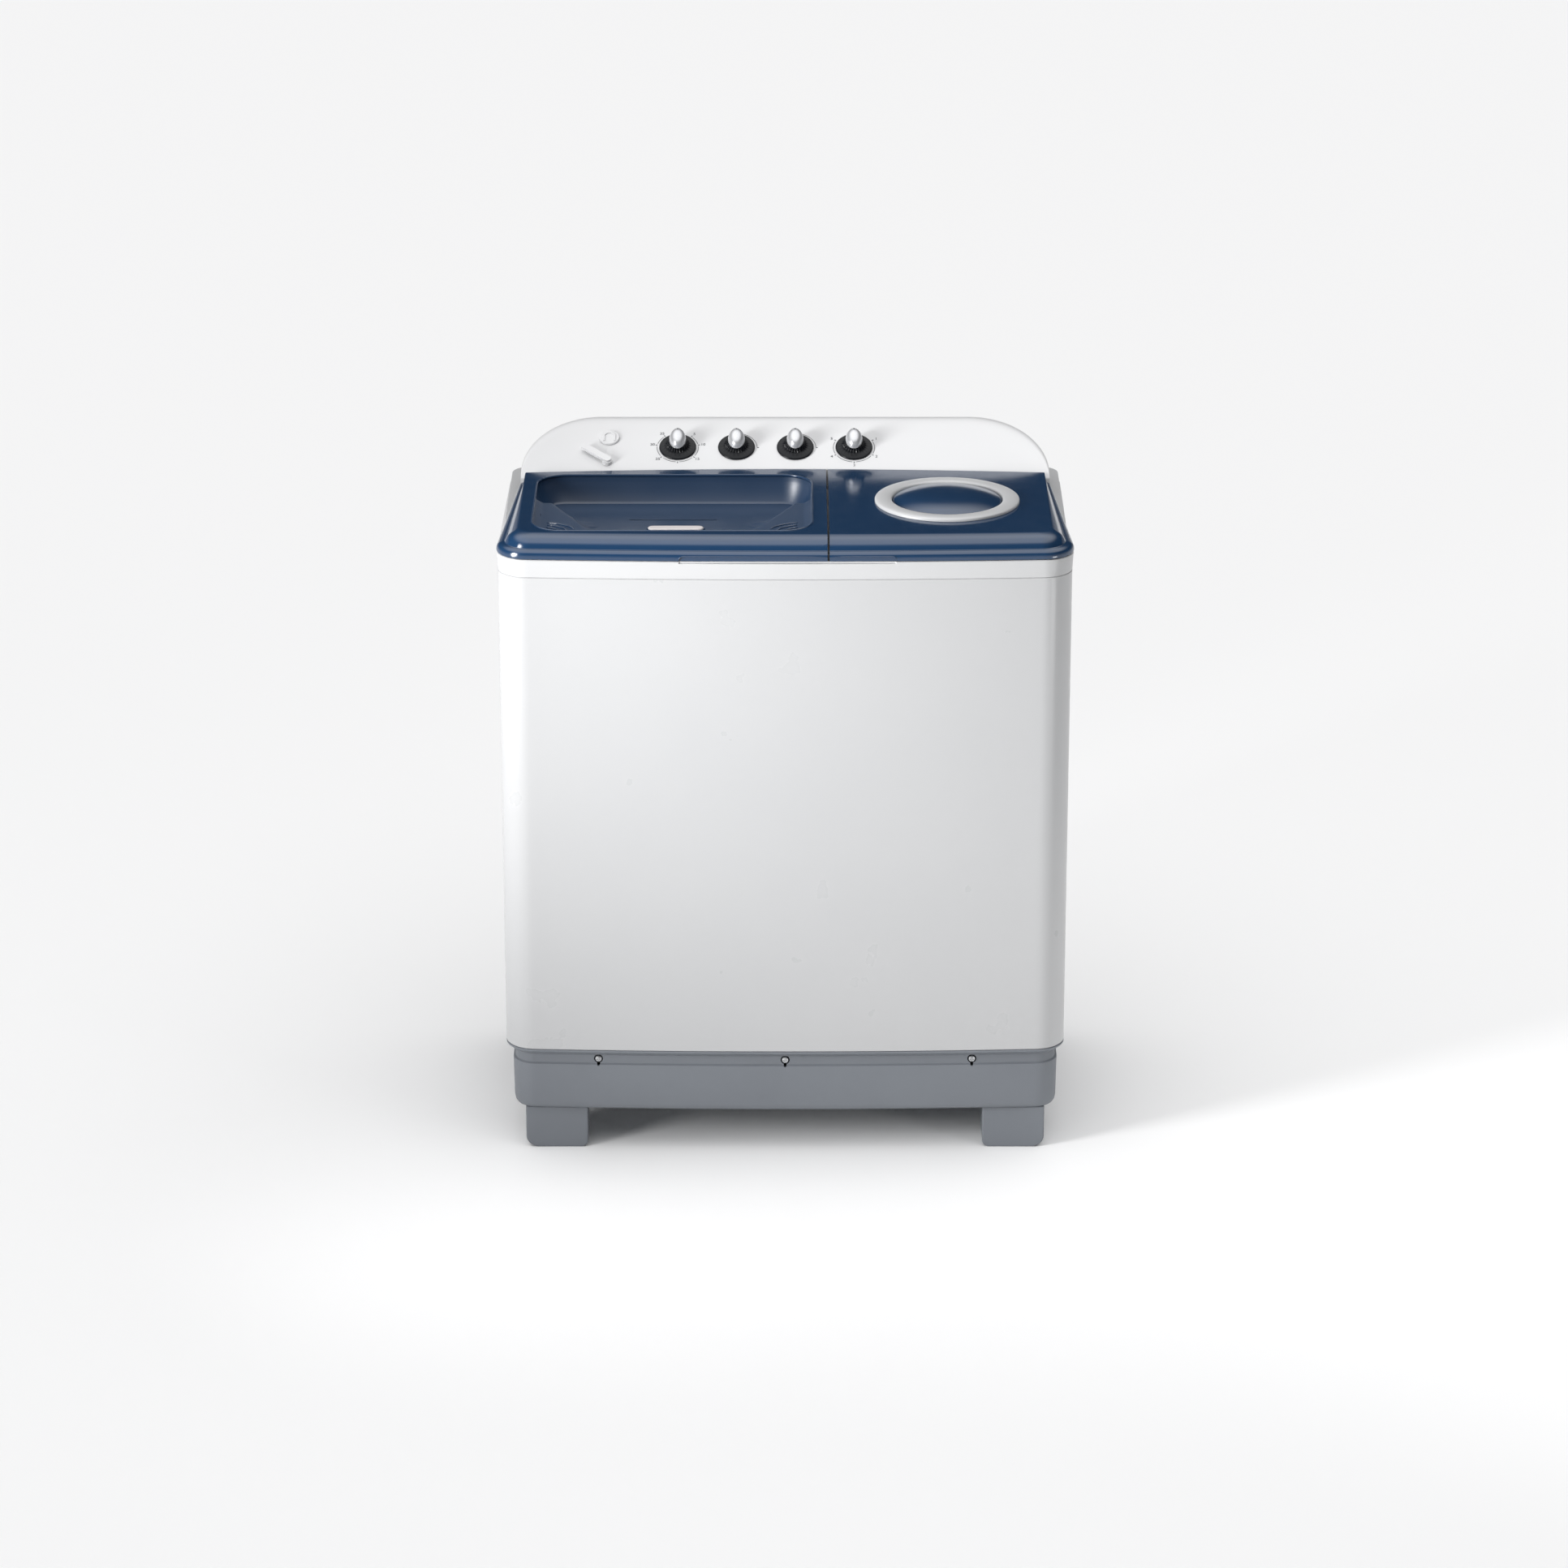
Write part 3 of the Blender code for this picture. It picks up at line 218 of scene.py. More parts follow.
def rounded_rectangle(x0, x1, y0, y1, radius, steps=16, sides=1):
    """Anticlockwise points of a rounded rectangle, with its straight sides cut into this many."""
    corners = ((x1, y0, -90), (x1, y1, 0), (x0, y1, 90), (x0, y0, 180))
    arcs = []
    for x, y, start in corners:
        middle_x = x - radius if x == x1 else x + radius
        middle_y = y - radius if y == y1 else y + radius
        arc = []
        for step in range(steps + 1):
            angle = math.radians(start + 90 * step / steps)
            arc.append((middle_x + radius * math.cos(angle), middle_y + radius * math.sin(angle)))
        arcs.append(arc)
    points = []
    for arc, following in zip(arcs, arcs[1:] + arcs[:1]):
        points += arc
        (xa, ya), (xb, yb) = arc[-1], following[0]
        for k in range(1, sides):
            points.append((xa + (xb - xa) * k / sides, ya + (yb - ya) * k / sides))
    return points


def at_height(outline, z):
    return [(x, y, z) for x, y in outline]


def prism(outline, z0, z1):
    return loft([at_height(outline, z0), at_height(outline, z1)])


# ---- materials -------------------------------------------------------------------------------------
class Shader:
    """A Principled material and a few short ways to build its nodes."""

    def __init__(self, name, colour, roughness, metallic=0.0, **sockets):
        self.material = bpy.data.materials.new(name)
        self.material.use_nodes = True
        self.tree = self.material.node_tree
        self.main = self.tree.nodes["Principled BSDF"]
        self.main.inputs["Base Color"].default_value = (*colour, 1.0)
        self.main.inputs["Roughness"].default_value = roughness
        self.main.inputs["Metallic"].default_value = metallic
        for socket, value in sockets.items():
            self.main.inputs[socket.replace("_", " ")].default_value = value
        self.where = self.add("ShaderNodeTexCoord").outputs["Object"]
        self.normal = None

    def add(self, kind, **values):
        node = self.tree.nodes.new(kind)
        for name, value in values.items():
            setattr(node, name, value)
        return node

    def link(self, output, socket):
        self.tree.links.new(output, socket)

    def stretched(self, scale):
        mapping = self.add("ShaderNodeMapping")
        mapping.inputs["Scale"].default_value = scale
        self.link(self.where, mapping.inputs["Vector"])
        return mapping.outputs["Vector"]

    def noise(self, scale, detail=2.0, stretch=None, rough=0.5):
        node = self.add("ShaderNodeTexNoise")
        node.inputs["Scale"].default_value = scale
        node.inputs["Detail"].default_value = detail
        node.inputs["Roughness"].default_value = rough
        self.link(self.stretched(stretch) if stretch else self.where, node.inputs["Vector"])
        return node.outputs["Fac"]

    def spread(self, value, low, high):
        """A 0 to 1 value spread over a range."""
        node = self.add("ShaderNodeMapRange")
        node.inputs["From Min"].default_value = 0.25
        node.inputs["From Max"].default_value = 0.75
        node.inputs["To Min"].default_value = low
        node.inputs["To Max"].default_value = high
        self.link(value, node.inputs["Value"])
        return node.outputs["Result"]

    def vary_roughness(self, value, low, high):
        self.link(self.spread(value, low, high), self.main.inputs["Roughness"])
        return self

    def vary_colour(self, value, one, two):
        mix = self.add("ShaderNodeMix", data_type="RGBA")
        mix.inputs["A"].default_value = (*one, 1.0)
        mix.inputs["B"].default_value = (*two, 1.0)
        self.link(self.spread(value, 0.0, 1.0), mix.inputs["Factor"])
        self.link(mix.outputs["Result"], self.main.inputs["Base Color"])
        return self

    def bump(self, value, depth, strength=1.0):
        """Adds relief of about this depth in metres."""
        node = self.add("ShaderNodeBump")
        node.inputs["Strength"].default_value = strength
        node.inputs["Distance"].default_value = depth
        self.link(value, node.inputs["Height"])
        if self.normal is not None:
            self.link(self.normal, node.inputs["Normal"])
        self.normal = node.outputs["Normal"]
        self.link(self.normal, self.main.inputs["Normal"])
        return self


def painted_steel():
    paint = Shader("white_paint", (0.80, 0.805, 0.815), 0.30, Coat_Weight=0.15, Coat_Roughness=0.12)
    peel = paint.noise(60.0, 1.0)
    paint.vary_colour(paint.noise(2.2, 3.0), (0.425, 0.429, 0.436), (0.445, 0.448, 0.453))
    paint.vary_roughness(paint.noise(14.0, 4.0), 0.26, 0.36)
    paint.bump(peel, 0.00004, 0.12)
    return paint.material


def white_moulding():
    plastic = Shader("white_moulding", (0.82, 0.82, 0.83), 0.34)
    plastic.vary_colour(plastic.noise(3.0, 3.0), (0.640, 0.643, 0.652), (0.665, 0.666, 0.671))
    plastic.vary_roughness(plastic.noise(30.0, 3.0), 0.30, 0.42)
    plastic.bump(plastic.noise(1500.0, 2.0), 0.00002, 0.5)
    return plastic.material


def shaded_white_moulding():
    # A darker copy of the white plastic: painted shade for the top frame, its ears and the vent ring.
    plastic = Shader("white_painted_shade", (0.60, 0.605, 0.615), 0.32)
    plastic.vary_colour(plastic.noise(3.0, 3.0), (0.460, 0.464, 0.470), (0.480, 0.484, 0.490))
    plastic.vary_roughness(plastic.noise(30.0, 3.0), 0.28, 0.38)
    plastic.bump(plastic.noise(1500.0, 2.0), 0.00002, 0.5)
    return plastic.material


def navy_satin():
    satin = Shader("navy_satin", (0.0085, 0.030, 0.074), 0.26, Specular_IOR_Level=0.85)
    satin.vary_colour(satin.noise(5.0, 2.0), (0.0090, 0.031, 0.076), (0.0102, 0.035, 0.084))
    satin.vary_roughness(satin.noise(12.0, 2.0), 0.36, 0.42)
    satin.bump(satin.noise(9.0, 1.0), 0.00010, 0.2)
    return satin.material


def navy_gloss():
    gloss = Shader("navy_gloss", (0.0085, 0.030, 0.074), 0.10, Specular_IOR_Level=0.85)
    gloss.vary_colour(gloss.noise(5.0, 2.0), (0.0090, 0.031, 0.076), (0.0102, 0.035, 0.084))
    gloss.vary_roughness(gloss.noise(40.0, 5.0, rough=0.6), 0.10, 0.17)
    gloss.bump(gloss.noise(9.0, 1.0), 0.00012, 0.25)
    return gloss.material


def grey_moulding():
    grey = Shader("grey_moulding", (0.15, 0.165, 0.185), 0.48)
    grey.vary_colour(grey.noise(6.0, 4.0), (0.150, 0.162, 0.182), (0.166, 0.180, 0.200))
    grey.vary_roughness(grey.noise(60.0, 3.0), 0.42, 0.56)
    grey.bump(grey.noise(2200.0, 2.0), 0.00006, 0.7)
    return grey.material


def dial_plastic():
    dial = Shader("dial_navy", (0.008, 0.012, 0.024), 0.30, Specular_IOR_Level=0.25)
    dial.vary_colour(dial.noise(60.0, 2.0), (0.0025, 0.0032, 0.0048), (0.0040, 0.0050, 0.0075))
    dial.vary_roughness(dial.noise(300.0, 3.0), 0.24, 0.38)
    dial.bump(dial.noise(2500.0, 1.0), 0.00002, 0.5)
    return dial.material


def silver_paint():
    silver = Shader("silver_paint", (0.60, 0.61, 0.63), 0.30, 0.55)
    silver.vary_colour(silver.noise(90.0, 3.0), (0.58, 0.59, 0.61), (0.66, 0.665, 0.68))
    silver.vary_roughness(silver.noise(3000.0, 2.0), 0.24, 0.36)
    silver.bump(silver.noise(6000.0, 1.0), 0.00001, 0.6)
    return silver.material


def tub_moulding():
    tub = Shader("tub_moulding", (0.78, 0.80, 0.82), 0.32, Subsurface_Weight=0.0)
    tub.vary_colour(tub.noise(4.0, 4.0), (0.760, 0.780, 0.800), (0.800, 0.815, 0.835))
    tub.vary_roughness(tub.noise(50.0, 3.0), 0.26, 0.40)
    tub.bump(tub.noise(900.0, 2.0), 0.00003, 0.5)
    return tub.material


def brushed_steel():
    steel = Shader("brushed_steel", (0.58, 0.585, 0.60), 0.30, 1.0)
    grain = steel.noise(900.0, 3.0, (1.0, 1.0, 0.02))
    steel.vary_colour(grain, (0.52, 0.525, 0.54), (0.64, 0.645, 0.66))
    steel.vary_roughness(grain, 0.22, 0.38)
    steel.bump(grain, 0.00002, 0.5)
    return steel.material


def zinc_plate():
    zinc = Shader("zinc_plate", (0.50, 0.51, 0.52), 0.42, 1.0)
    voronoi = zinc.add("ShaderNodeTexVoronoi")
    voronoi.inputs["Scale"].default_value = 160.0
    zinc.link(zinc.where, voronoi.inputs["Vector"])
    zinc.vary_colour(voronoi.outputs["Distance"], (0.505, 0.515, 0.525), (0.535, 0.545, 0.555))
    zinc.vary_roughness(zinc.noise(90.0, 4.0), 0.34, 0.52)
    zinc.bump(zinc.noise(700.0, 3.0), 0.00003, 0.6)
    return zinc.material


def black_rubber():
    rubber = Shader("black_rubber", (0.020, 0.020, 0.021), 0.78)
    rubber.vary_colour(rubber.noise(80.0, 4.0), (0.016, 0.016, 0.017), (0.030, 0.030, 0.031))
    rubber.vary_roughness(rubber.noise(200.0, 3.0), 0.68, 0.88)
    rubber.bump(rubber.noise(1500.0, 3.0), 0.00006, 0.8)
    return rubber.material


def beige_moulding():
    beige = Shader("beige_moulding", (0.60, 0.565, 0.56), 0.38)
    beige.vary_colour(beige.noise(40.0, 3.0), (0.585, 0.550, 0.545), (0.625, 0.59, 0.585))
    beige.vary_roughness(beige.noise(120.0, 3.0), 0.32, 0.46)
    beige.bump(beige.noise(1800.0, 2.0), 0.00003, 0.5)
    return beige.material


def ink_and_painted_shade(name, colour):
    # A flat rough colour: print ink, and also painted shade in holes and grooves.
    ink = Shader(name, colour, 0.55)
    ink.vary_roughness(ink.noise(800.0, 2.0), 0.48, 0.62)
    return ink.material


WHITE_STEEL = painted_steel()
WHITE = white_moulding()
WHITE_PAINTED_SHADE = shaded_white_moulding()
NAVY_SATIN = navy_satin()
NAVY = navy_gloss()
GREY = grey_moulding()
DIAL = dial_plastic()
SILVER = silver_paint()
TUB = tub_moulding()
STEEL = brushed_steel()
ZINC = zinc_plate()
RUBBER = black_rubber()
BEIGE = beige_moulding()
TUB_WHITE = TUB
BASKET_WHITE = TUB
# Near-black: painted shade for the basket's holes.
HOLE_SHADE = ink_and_painted_shade("painted_hole_shade", (0.03, 0.032, 0.035))
NAVY_DEEP = NAVY
WHITE_SHADE = WHITE
NAVY_EDGE = NAVY
# Dark ink for the printing, also used as painted shade in the pointer grooves.
INK_AND_GROOVE_SHADE = ink_and_painted_shade("dark_ink_and_groove_shade", (0.045, 0.050, 0.060))
PALE_INK = ink_and_painted_shade("pale_ink", (0.62, 0.63, 0.65))

SLOT_MATERIALS = {
    "white_steel": WHITE_STEEL,
    "white_plastic": WHITE,
    "navy_plastic": NAVY,
    "grey_plastic": GREY,
    "dial_plastic": DIAL,
    "silver_plastic": SILVER,
    "tub_plastic": TUB,
    "bare_steel": STEEL,
    "zinc_steel": ZINC,
    "black_rubber": RUBBER,
    "beige_plastic": BEIGE,
}
FINISH_SLOTS = {material.name: slot for slot, material in SLOT_MATERIALS.items()}
FINISH_SLOTS |= {"white_painted_shade": "white_plastic", "navy_satin": "navy_plastic", "dark_ink_and_groove_shade": "dial_plastic"}
FINISH_SLOTS |= {"pale_ink": "silver_plastic", "painted_hole_shade": "black_rubber"}
for part in frame["record"]["subparts"]:
    NODES[part["node"]].data.materials.clear()
    NODES[part["node"]].data.materials.append(SLOT_MATERIALS[part["material_slot"]])


# ---- casing ----------------------------------------------------------------------------------------
def front_y(x, inset=0.0):
    return FRONT + inset + FRONT_BOW * (x / HALF) ** 2


def body_plan(inset, rear=BACK - 0.012, rear_half=None, side=None, steps=14, front_steps=44):
    """The body's outline, anticlockwise. The sides may be set in further than the front."""
    side = inset if side is None else side
    half = HALF - side
    back_half = half if rear_half is None else rear_half
    back = rear - inset
    radius = CORNER - min(inset, CORNER / 2)
    reach = half - radius
    points = []
    for step in range(front_steps + 1):
        x = -reach + 2 * reach * step / front_steps
        points.append((x, front_y(x, inset)))
    corner_y = front_y(reach, inset) + radius
    for step in range(1, steps + 1):
        angle = math.radians(-90 + 90 * step / steps)
        points.append((reach + radius * math.cos(angle), corner_y + radius * math.sin(angle)))
    for step in range(steps + 1):
        angle = math.radians(90 * step / steps)
        x = back_half - REAR_CORNER + REAR_CORNER * math.cos(angle)
        points.append((x, back - REAR_CORNER + REAR_CORNER * math.sin(angle)))
    right = points[front_steps + 1 :]
    return points + [(-x, y) for x, y in reversed(right)]


def make_cabinet():
    skin = 0.0025
    bottom, top = CABINET_LOW.z, CABINET_HIGH.z
    edge = 0.0012
    rows = [(skin, bottom), (skin, top), (edge, top), (0.0, top - edge), (0.0, bottom + edge), (edge, bottom)]
    rings = [at_height(body_plan(BODY_INSET + inset), z) for inset, z in rows]
    cabinet = new_object("cabinet_wrap", mesh_of(loft(rings, tube=True), "cabinet_wrap"), WHITE_STEEL)
    back = CABINET_HIGH.y
    gland = (low("cord_gland") + high("cord_gland")) / 2
    cover_low, cover_high = low("rear_cover"), high("rear_cover")
    inner = 0.015
    opening = box(
        (cover_low.x + inner, back - 0.02, cover_low.z + inner), (cover_high.x - inner, back + 0.02, cover_high.z - inner)
    )
    hole = rod((gland.x, back - 0.02, gland.z), (gland.x, back + 0.02, gland.z), 0.0090)
    cut(cabinet, opening, hole)
    mark_sharp(cabinet)
    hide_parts("cabinet")
    make_rear_cover(cover_low, cover_high)


def mark_sharp(obj, angle=35):
    obj.data.shade_smooth()
    obj.data.set_sharp_from_angle(angle=math.radians(angle))


def make_rear_cover(lowest, highest):
    """A pressed plate with louvres and screws round its edge."""
    cover = new_object("rear_plate", mesh_of(box(lowest, highest), "rear_plate"), ZINC)
    slots = []
    for i in range(6):
        z = 0.26 + 0.022 * i
        slots.append(box((-0.09, lowest.y - 0.01, z), (0.09, highest.y + 0.01, z + 0.006)))
    cut(cover, *slots)
    mark_sharp(cover)
    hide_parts("rear_cover")
    for i in range(6):
        z = 0.26 + 0.022 * i
        hood = [(-0.094, z - 0.001), (0.094, z - 0.001), (0.094, z + 0.0085), (-0.094, z + 0.0085)]
        rings = [[(x, highest.y + 0.0002, z) for x, z in hood]]
        rings.append([(x * 0.97, highest.y + 0.0030, z + 0.002) for x, z in hood[:2]] + [(x, highest.y + 0.0004, z) for x, z in hood[2:]])
        louvre = new_object(f"rear_louvre_{i + 1}", mesh_of(loft(rings), "louvre"), ZINC)
        louvre.data.shade_flat()
    places = [(x, z) for x in (lowest.x + 0.008, highest.x - 0.008) for z in (0.215, 0.495, 0.775)]
    places += [(x, z) for x in (-0.12, 0.12) for z in (lowest.z + 0.007, highest.z - 0.007)]
    for i, (x, z) in enumerate(places):
        make_screw_head(f"rear_screw_{i + 1}", (x, highest.y + 0.0003, z), (0, 1, 0), 0.0042)


def make_screw_head(name, at, axis, radius, body=BODY, material=None):
    """A pan head with a cross recess."""
    dome = [(0.0, radius * 0.50), (radius * 0.5, radius * 0.46), (radius * 0.85, radius * 0.28), (radius, 0.0), (0.0, 0.0)]
    head = new_object(name, mesh_of(lathe(dome, at, axis, 32), name), material or ZINC, body)
    turn = Vector(axis).to_track_quat("Z", "Y").to_matrix().to_4x4()
    arms = []
    for long, short in ((0.62, 0.13), (0.13, 0.62)):
        bm = box((-radius * long, -radius * short, radius * 0.25), (radius * long, radius * short, radius))
        bm.transform(Matrix.Translation(at) @ turn)
        arms.append(bm)
    cut(head, *arms)
    mark_sharp(head, 30)
    return head


def body_wall(rows, name, material, rear=BACK - 0.012, rear_half=None, tube=False):
    """A shell from rows of (inset, height) or (inset, side inset, height)."""
    rings = []
    for row in rows:
        inset, side, z = row if len(row) == 3 else (row[0], row[0], row[1])
        rings.append(at_height(body_plan(inset, rear, rear_half, side), z))
    return new_object(name, mesh_of(loft(rings, tube=tube), name), material)


def make_top_frame():
    """The moulded white surround that carries both lids and the panel."""
    top_rear = BACK - 0.002
    under = 0.0035
    rings = [at_height(body_plan(BODY_INSET + under), DECK_TOP - 0.004)]
    rings += [at_height(body_plan(BODY_INSET + under), FRAME_LOW)]
    rings += [at_height(body_plan(BODY_INSET + 0.0008), FRAME_LOW)]
    rings += [at_height(body_plan(BODY_INSET), FRAME_LOW + 0.0008)]
    for inset, z in ((0.0006, FRAME_TOP - 0.0035), (0.0008, FRAME_TOP - 0.0014), (0.0018, FRAME_TOP - 0.0002)):
        rings.append(at_height(body_plan(inset, top_rear, TAPERED_REAR), z))
    rings.append(at_height(body_plan(0.0026, top_rear, TAPERED_REAR), FRAME_TOP))
    # The frame is drawn in the darker white, as painted shade.
    obj = new_object("frame_moulding", mesh_of(loft(rings), "frame_moulding"), WHITE_PAINTED_SHADE)
    recess = body_plan(0.0060, REAR_EDGE + 0.008, 0.387)
    wash = rounded_rectangle(-0.3705, 0.0425, -0.2080, 0.0800, 0.045)
    spin_low, spin_high = low("spin_outer_tub"), high("spin_outer_tub")
    spin = (spin_low + spin_high) / 2
    grip = rounded_rectangle(GRIP_LEFT, GRIP_RIGHT, FRONT - 0.01, FRONT + 0.0042, 0.003)
    wiring = rounded_rectangle(-0.060, 0.200, 0.150, 0.205, 0.010)
    cut(
        obj,
        prism(recess, DECK_TOP, FRAME_TOP + 0.01),
        prism(wash, DECK_TOP - 0.02, FRAME_TOP + 0.01),
        rod((spin.x, spin.y, DECK_TOP - 0.02), (spin.x, spin.y, FRAME_TOP + 0.01), 0.140, 128),
        prism(grip, FRAME_TOP - 0.0028, FRAME_TOP + 0.01),
        prism(wiring, DECK_TOP - 0.02, FRAME_TOP + 0.01),
    )
    mark_sharp(obj, 30)
    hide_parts("top_frame")
    # The ears are drawn in the same darker white, as painted shade.
    for i, x in enumerate((-0.366, 0.044, 0.080, 0.364)):
        ear = new_object(f"frame_ear_{i + 1}", mesh_of(ear_outline(x), "ear"), WHITE_PAINTED_SHADE)
        cut(ear, rod((x - 0.02, HINGE.y, HINGE.z), (x + 0.02, HINGE.y, HINGE.z), 0.0031, 32))
        mark_sharp(ear)


def ear_outline(x, width=0.005, radius=0.0042):
    """A hinge ear with a round top, standing on the deck."""
    outline = [(HINGE.y - radius - 0.002, DECK_TOP - 0.001), (HINGE.y + radius + 0.002, DECK_TOP - 0.001)]
    for step in range(17):
        angle = math.pi * step / 16
        outline.append((HINGE.y + radius * math.cos(angle), HINGE.z + radius * math.sin(angle)))
    return loft([[(x + side * width / 2, y, z) for y, z in outline] for side in (-1, 1)])


def make_base():
    """The grey plinth: a sloped ledge, a dark undercut, then the main face with three screws."""
    bottom, top = low("base").z, high("base").z
    side, wall = 0.0125, 0.0040
    rows = [
        (side + wall, bottom + wall),
        (side + wall, top),
        (BODY_INSET + 0.0010, top),
        (BODY_INSET, top - 0.0008),
        (BODY_INSET + 0.0002, top - 0.0030),
        (BODY_INSET + 0.0082, top - 0.0096),
        (BODY_INSET + 0.0094, top - 0.0104),
        (side + 0.0024, top - 0.0108),
        (side + 0.0022, top - 0.0252),
        (side + 0.0008, top - 0.0262),
        (side - 0.0004, top - 0.0270),
        (side - 0.0006, top - 0.0285),
        (side + 0.0003, bottom + 0.0120),
        (side + 0.0016, bottom + 0.0050),
        (side + 0.0040, bottom + 0.0012),
        (side + 0.0075, bottom),
    ]
    base = body_wall(rows, "plinth", GREY)
    mark_sharp(base, 40)
    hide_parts("base")
    for i in range(3):
        screw_low, screw_high = low(f"base_screw_{i + 1}"), high(f"base_screw_{i + 1}")
        at = (screw_low + screw_high) / 2
        make_base_screw(base, i + 1, at.x, at.z)
    outlet = (low("drain_outlet") + high("drain_outlet")) / 2
    cut(base, rod((outlet.x, 0.16, outlet.z), (outlet.x, BACK, outlet.z), 0.0150))
    mark_sharp(base, 40)


def make_base_screw(base, number, x, z):
    """A round pocket with a drip slot under it, and the screw in it."""
    face = front_y(x, 0.0125)
    slot = rounded_rectangle(x - 0.0022, x + 0.0022, z - 0.0108, z + 0.001, 0.0020, 6)
    slot_ring = [[(px, y, pz) for px, pz in slot] for y in (face - 0.01, face + 0.0046)]
    cut(base, rod((x, face - 0.01, z), (x, face + 0.0052, z), 0.0066), loft(slot_ring))
    at = (x, low(f"base_screw_{number}").y + 0.0012, z)
    head = make_screw_head(f"plinth_screw_{number}", at, (0, -1, 0), 0.0050)
    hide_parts(f"base_screw_{number}")


def make_feet():
    """Hollow-looking feet with rounded lower corners, wider radius outside."""
    top, depth = high("foot_front_left").z, 0.062
    for side in ("left", "right"):
        for end in ("front", "rear"):
            lowest, highest = low(f"foot_{end}_{side}"), high(f"foot_{end}_{side}")
            outer_x, inner_x = (lowest.x, highest.x) if side == "left" else (highest.x, lowest.x)
            inward = 1 if side == "left" else -1
            outline = [(outer_x, top)]
            for radius, corner_x, sign in ((0.018, outer_x, inward), (0.010, inner_x, -inward)):
                arc = []
                for step in range(13):
                    angle = math.radians(90 * step / 12)
                    arc.append((corner_x + sign * radius * (1 - math.cos(angle)), radius * (1 - math.sin(angle))))
                outline += arc if corner_x == outer_x else arc[::-1]
            outline.append((inner_x, top))
            rings = [[(x, y, z) for x, z in outline] for y in (lowest.y, highest.y)]
            foot = new_object(f"foot_{end}_{side}_pad", mesh_of(loft(rings), "foot"), GREY)
            soften(foot, 0.0022, 3, 60)
            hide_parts(f"foot_{end}_{side}")


# ---- lids ------------------------------------------------------------------------------------------
LID_ROWS = (
    # inset at the front, inset at the sides, height: the lip, the crease, the sloped apron and the ridge
    (0.0010, 0.0010, 0.9281),
    (0.0003, 0.0003, 0.9288),
    (0.0000, 0.0000, 0.9302),
    (0.0003, 0.0004, 0.9340),
    (0.0012, 0.0018, 0.9372),
    (0.0030, 0.0046, 0.9396),
    (0.0056, 0.0080, 0.9409),
    (0.0078, 0.0108, 0.9413),
    (0.0088, 0.0122, 0.9419),
    (0.0096, 0.0134, 0.9440),
    (0.0110, 0.0154, 0.9478),
    (0.0132, 0.0184, 0.9516),
    (0.0160, 0.0214, 0.9541),
    (0.0200, 0.0246, 0.9559),
    (0.0250, 0.0276, 0.9574),
    (0.0300, 0.0302, 0.9586),
    (0.0335, 0.0322, 0.95915),
    (0.0352, 0.0336, 0.9592),
    (0.0390, 0.0360, 0.9592),
)


def rear_edge_y(x):
    return REAR_EDGE - REAR_SAG * (x / PANEL_HALF) ** 2


def lid_plane_z(y, drop=0.0):
    return LID_TOP - LID_SLOPE * (y - FRONT - 0.034) - drop


def lid_ring(inset, side, z):
    """One contour of the lids. The higher it is, the more it tilts with the lids' slope."""
    share = max(0.0, (z - LID_LOW) / (LID_TOP - LID_LOW))
    outline = body_plan(inset, BACK - 0.002, TAPERED_REAR - max(0.0, side - inset), side, 24, 96)
    return [(x, y, z - share * LID_SLOPE * (y - FRONT - 0.034)) for x, y in outline]


def lid_shell():
    skin = 0.0028
    inner = [(0.0390, 0.0360, 0.9564), (0.0260, 0.0290, 0.9545), (0.0150, 0.0215, 0.9500)]
    inner += [(0.0125, 0.0165, 0.9440), (0.0098, 0.0120, 0.9390), (0.0045, 0.0058, 0.9365), (skin, skin, 0.9330)]
    rings = [lid_ring(*row) for row in inner]
    rings.append(lid_ring(skin, skin, 0.9281))
    rings += [lid_ring(*row) for row in LID_ROWS]
    return loft(rings)


def behind_lids(steps=60):
    reach = HALF + 0.05
    outline = [(reach, BACK + 0.05), (-reach, BACK + 0.05)]
    for step in range(steps + 1):
        x = -reach + 2 * reach * step / steps
        outline.append((x, rear_edge_y(x)))
    return outline


def make_lid(name, x_inner, x_far, body):
    lid = new_object(name, mesh_of(lid_shell(), name), NAVY, body)
    left, right = sorted((x_inner, x_far))
    cut(lid, box((left, FRONT - 0.05, LID_LOW - 0.05), (right, BACK + 0.05, LID_TOP + 0.05)))
    cut(lid, prism(behind_lids(), LID_LOW - 0.05, LID_TOP + 0.05), solver="MANIFOLD")
    cut(lid, box((-HALF, HINGE.y - 0.001, LID_LOW - 0.05), (HALF, BACK, LID_LOW + 0.0022)))
    cut(lid, grip_cutter())
    return lid


def grip_cutter(depth=0.0020, tall=0.0068, end=0.0070, steps=60):
    """A shallow finger recess along the front edge, which follows the bow and has rounded ends."""
    sections = []
    middle, half = (GRIP_LEFT + GRIP_RIGHT) / 2, (GRIP_RIGHT - GRIP_LEFT) / 2
    for step in range(steps + 1):
        x = middle - half * math.cos(math.pi * step / steps)
        into = max(0.0, (abs(x - middle) - half + end) / end)
        top = LID_LOW + 0.0002 + (tall - 0.0002) * math.sqrt(max(0.0, 1 - into**2))
        near, far = front_y(x, -0.02), front_y(x, depth)
        sections.append([(x, near, LID_LOW - 0.02), (x, far, LID_LOW - 0.02), (x, far, top), (x, near, top)])
    return loft(sections)


def make_wash_lid():
    lid = make_lid("wash_lid_top", high("wash_lid").x, HALF + 0.06, "wash_lid_body")
    opening = rounded_rectangle(*TRAY, TRAY_RADIUS, 24)
    cut(lid, prism(opening, 0.90, 1.0))
    finish_lid(lid)
    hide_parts("wash_lid")
    make_lid_ears("wash", "wash_lid_body", (-0.3735, 0.0515))


def finish_lid(lid):
    mark_sharp(lid, 28)
    weighted = lid.modifiers.new("weighted", "WEIGHTED_NORMAL")
    weighted.keep_sharp = True
    apply_modifiers(lid)


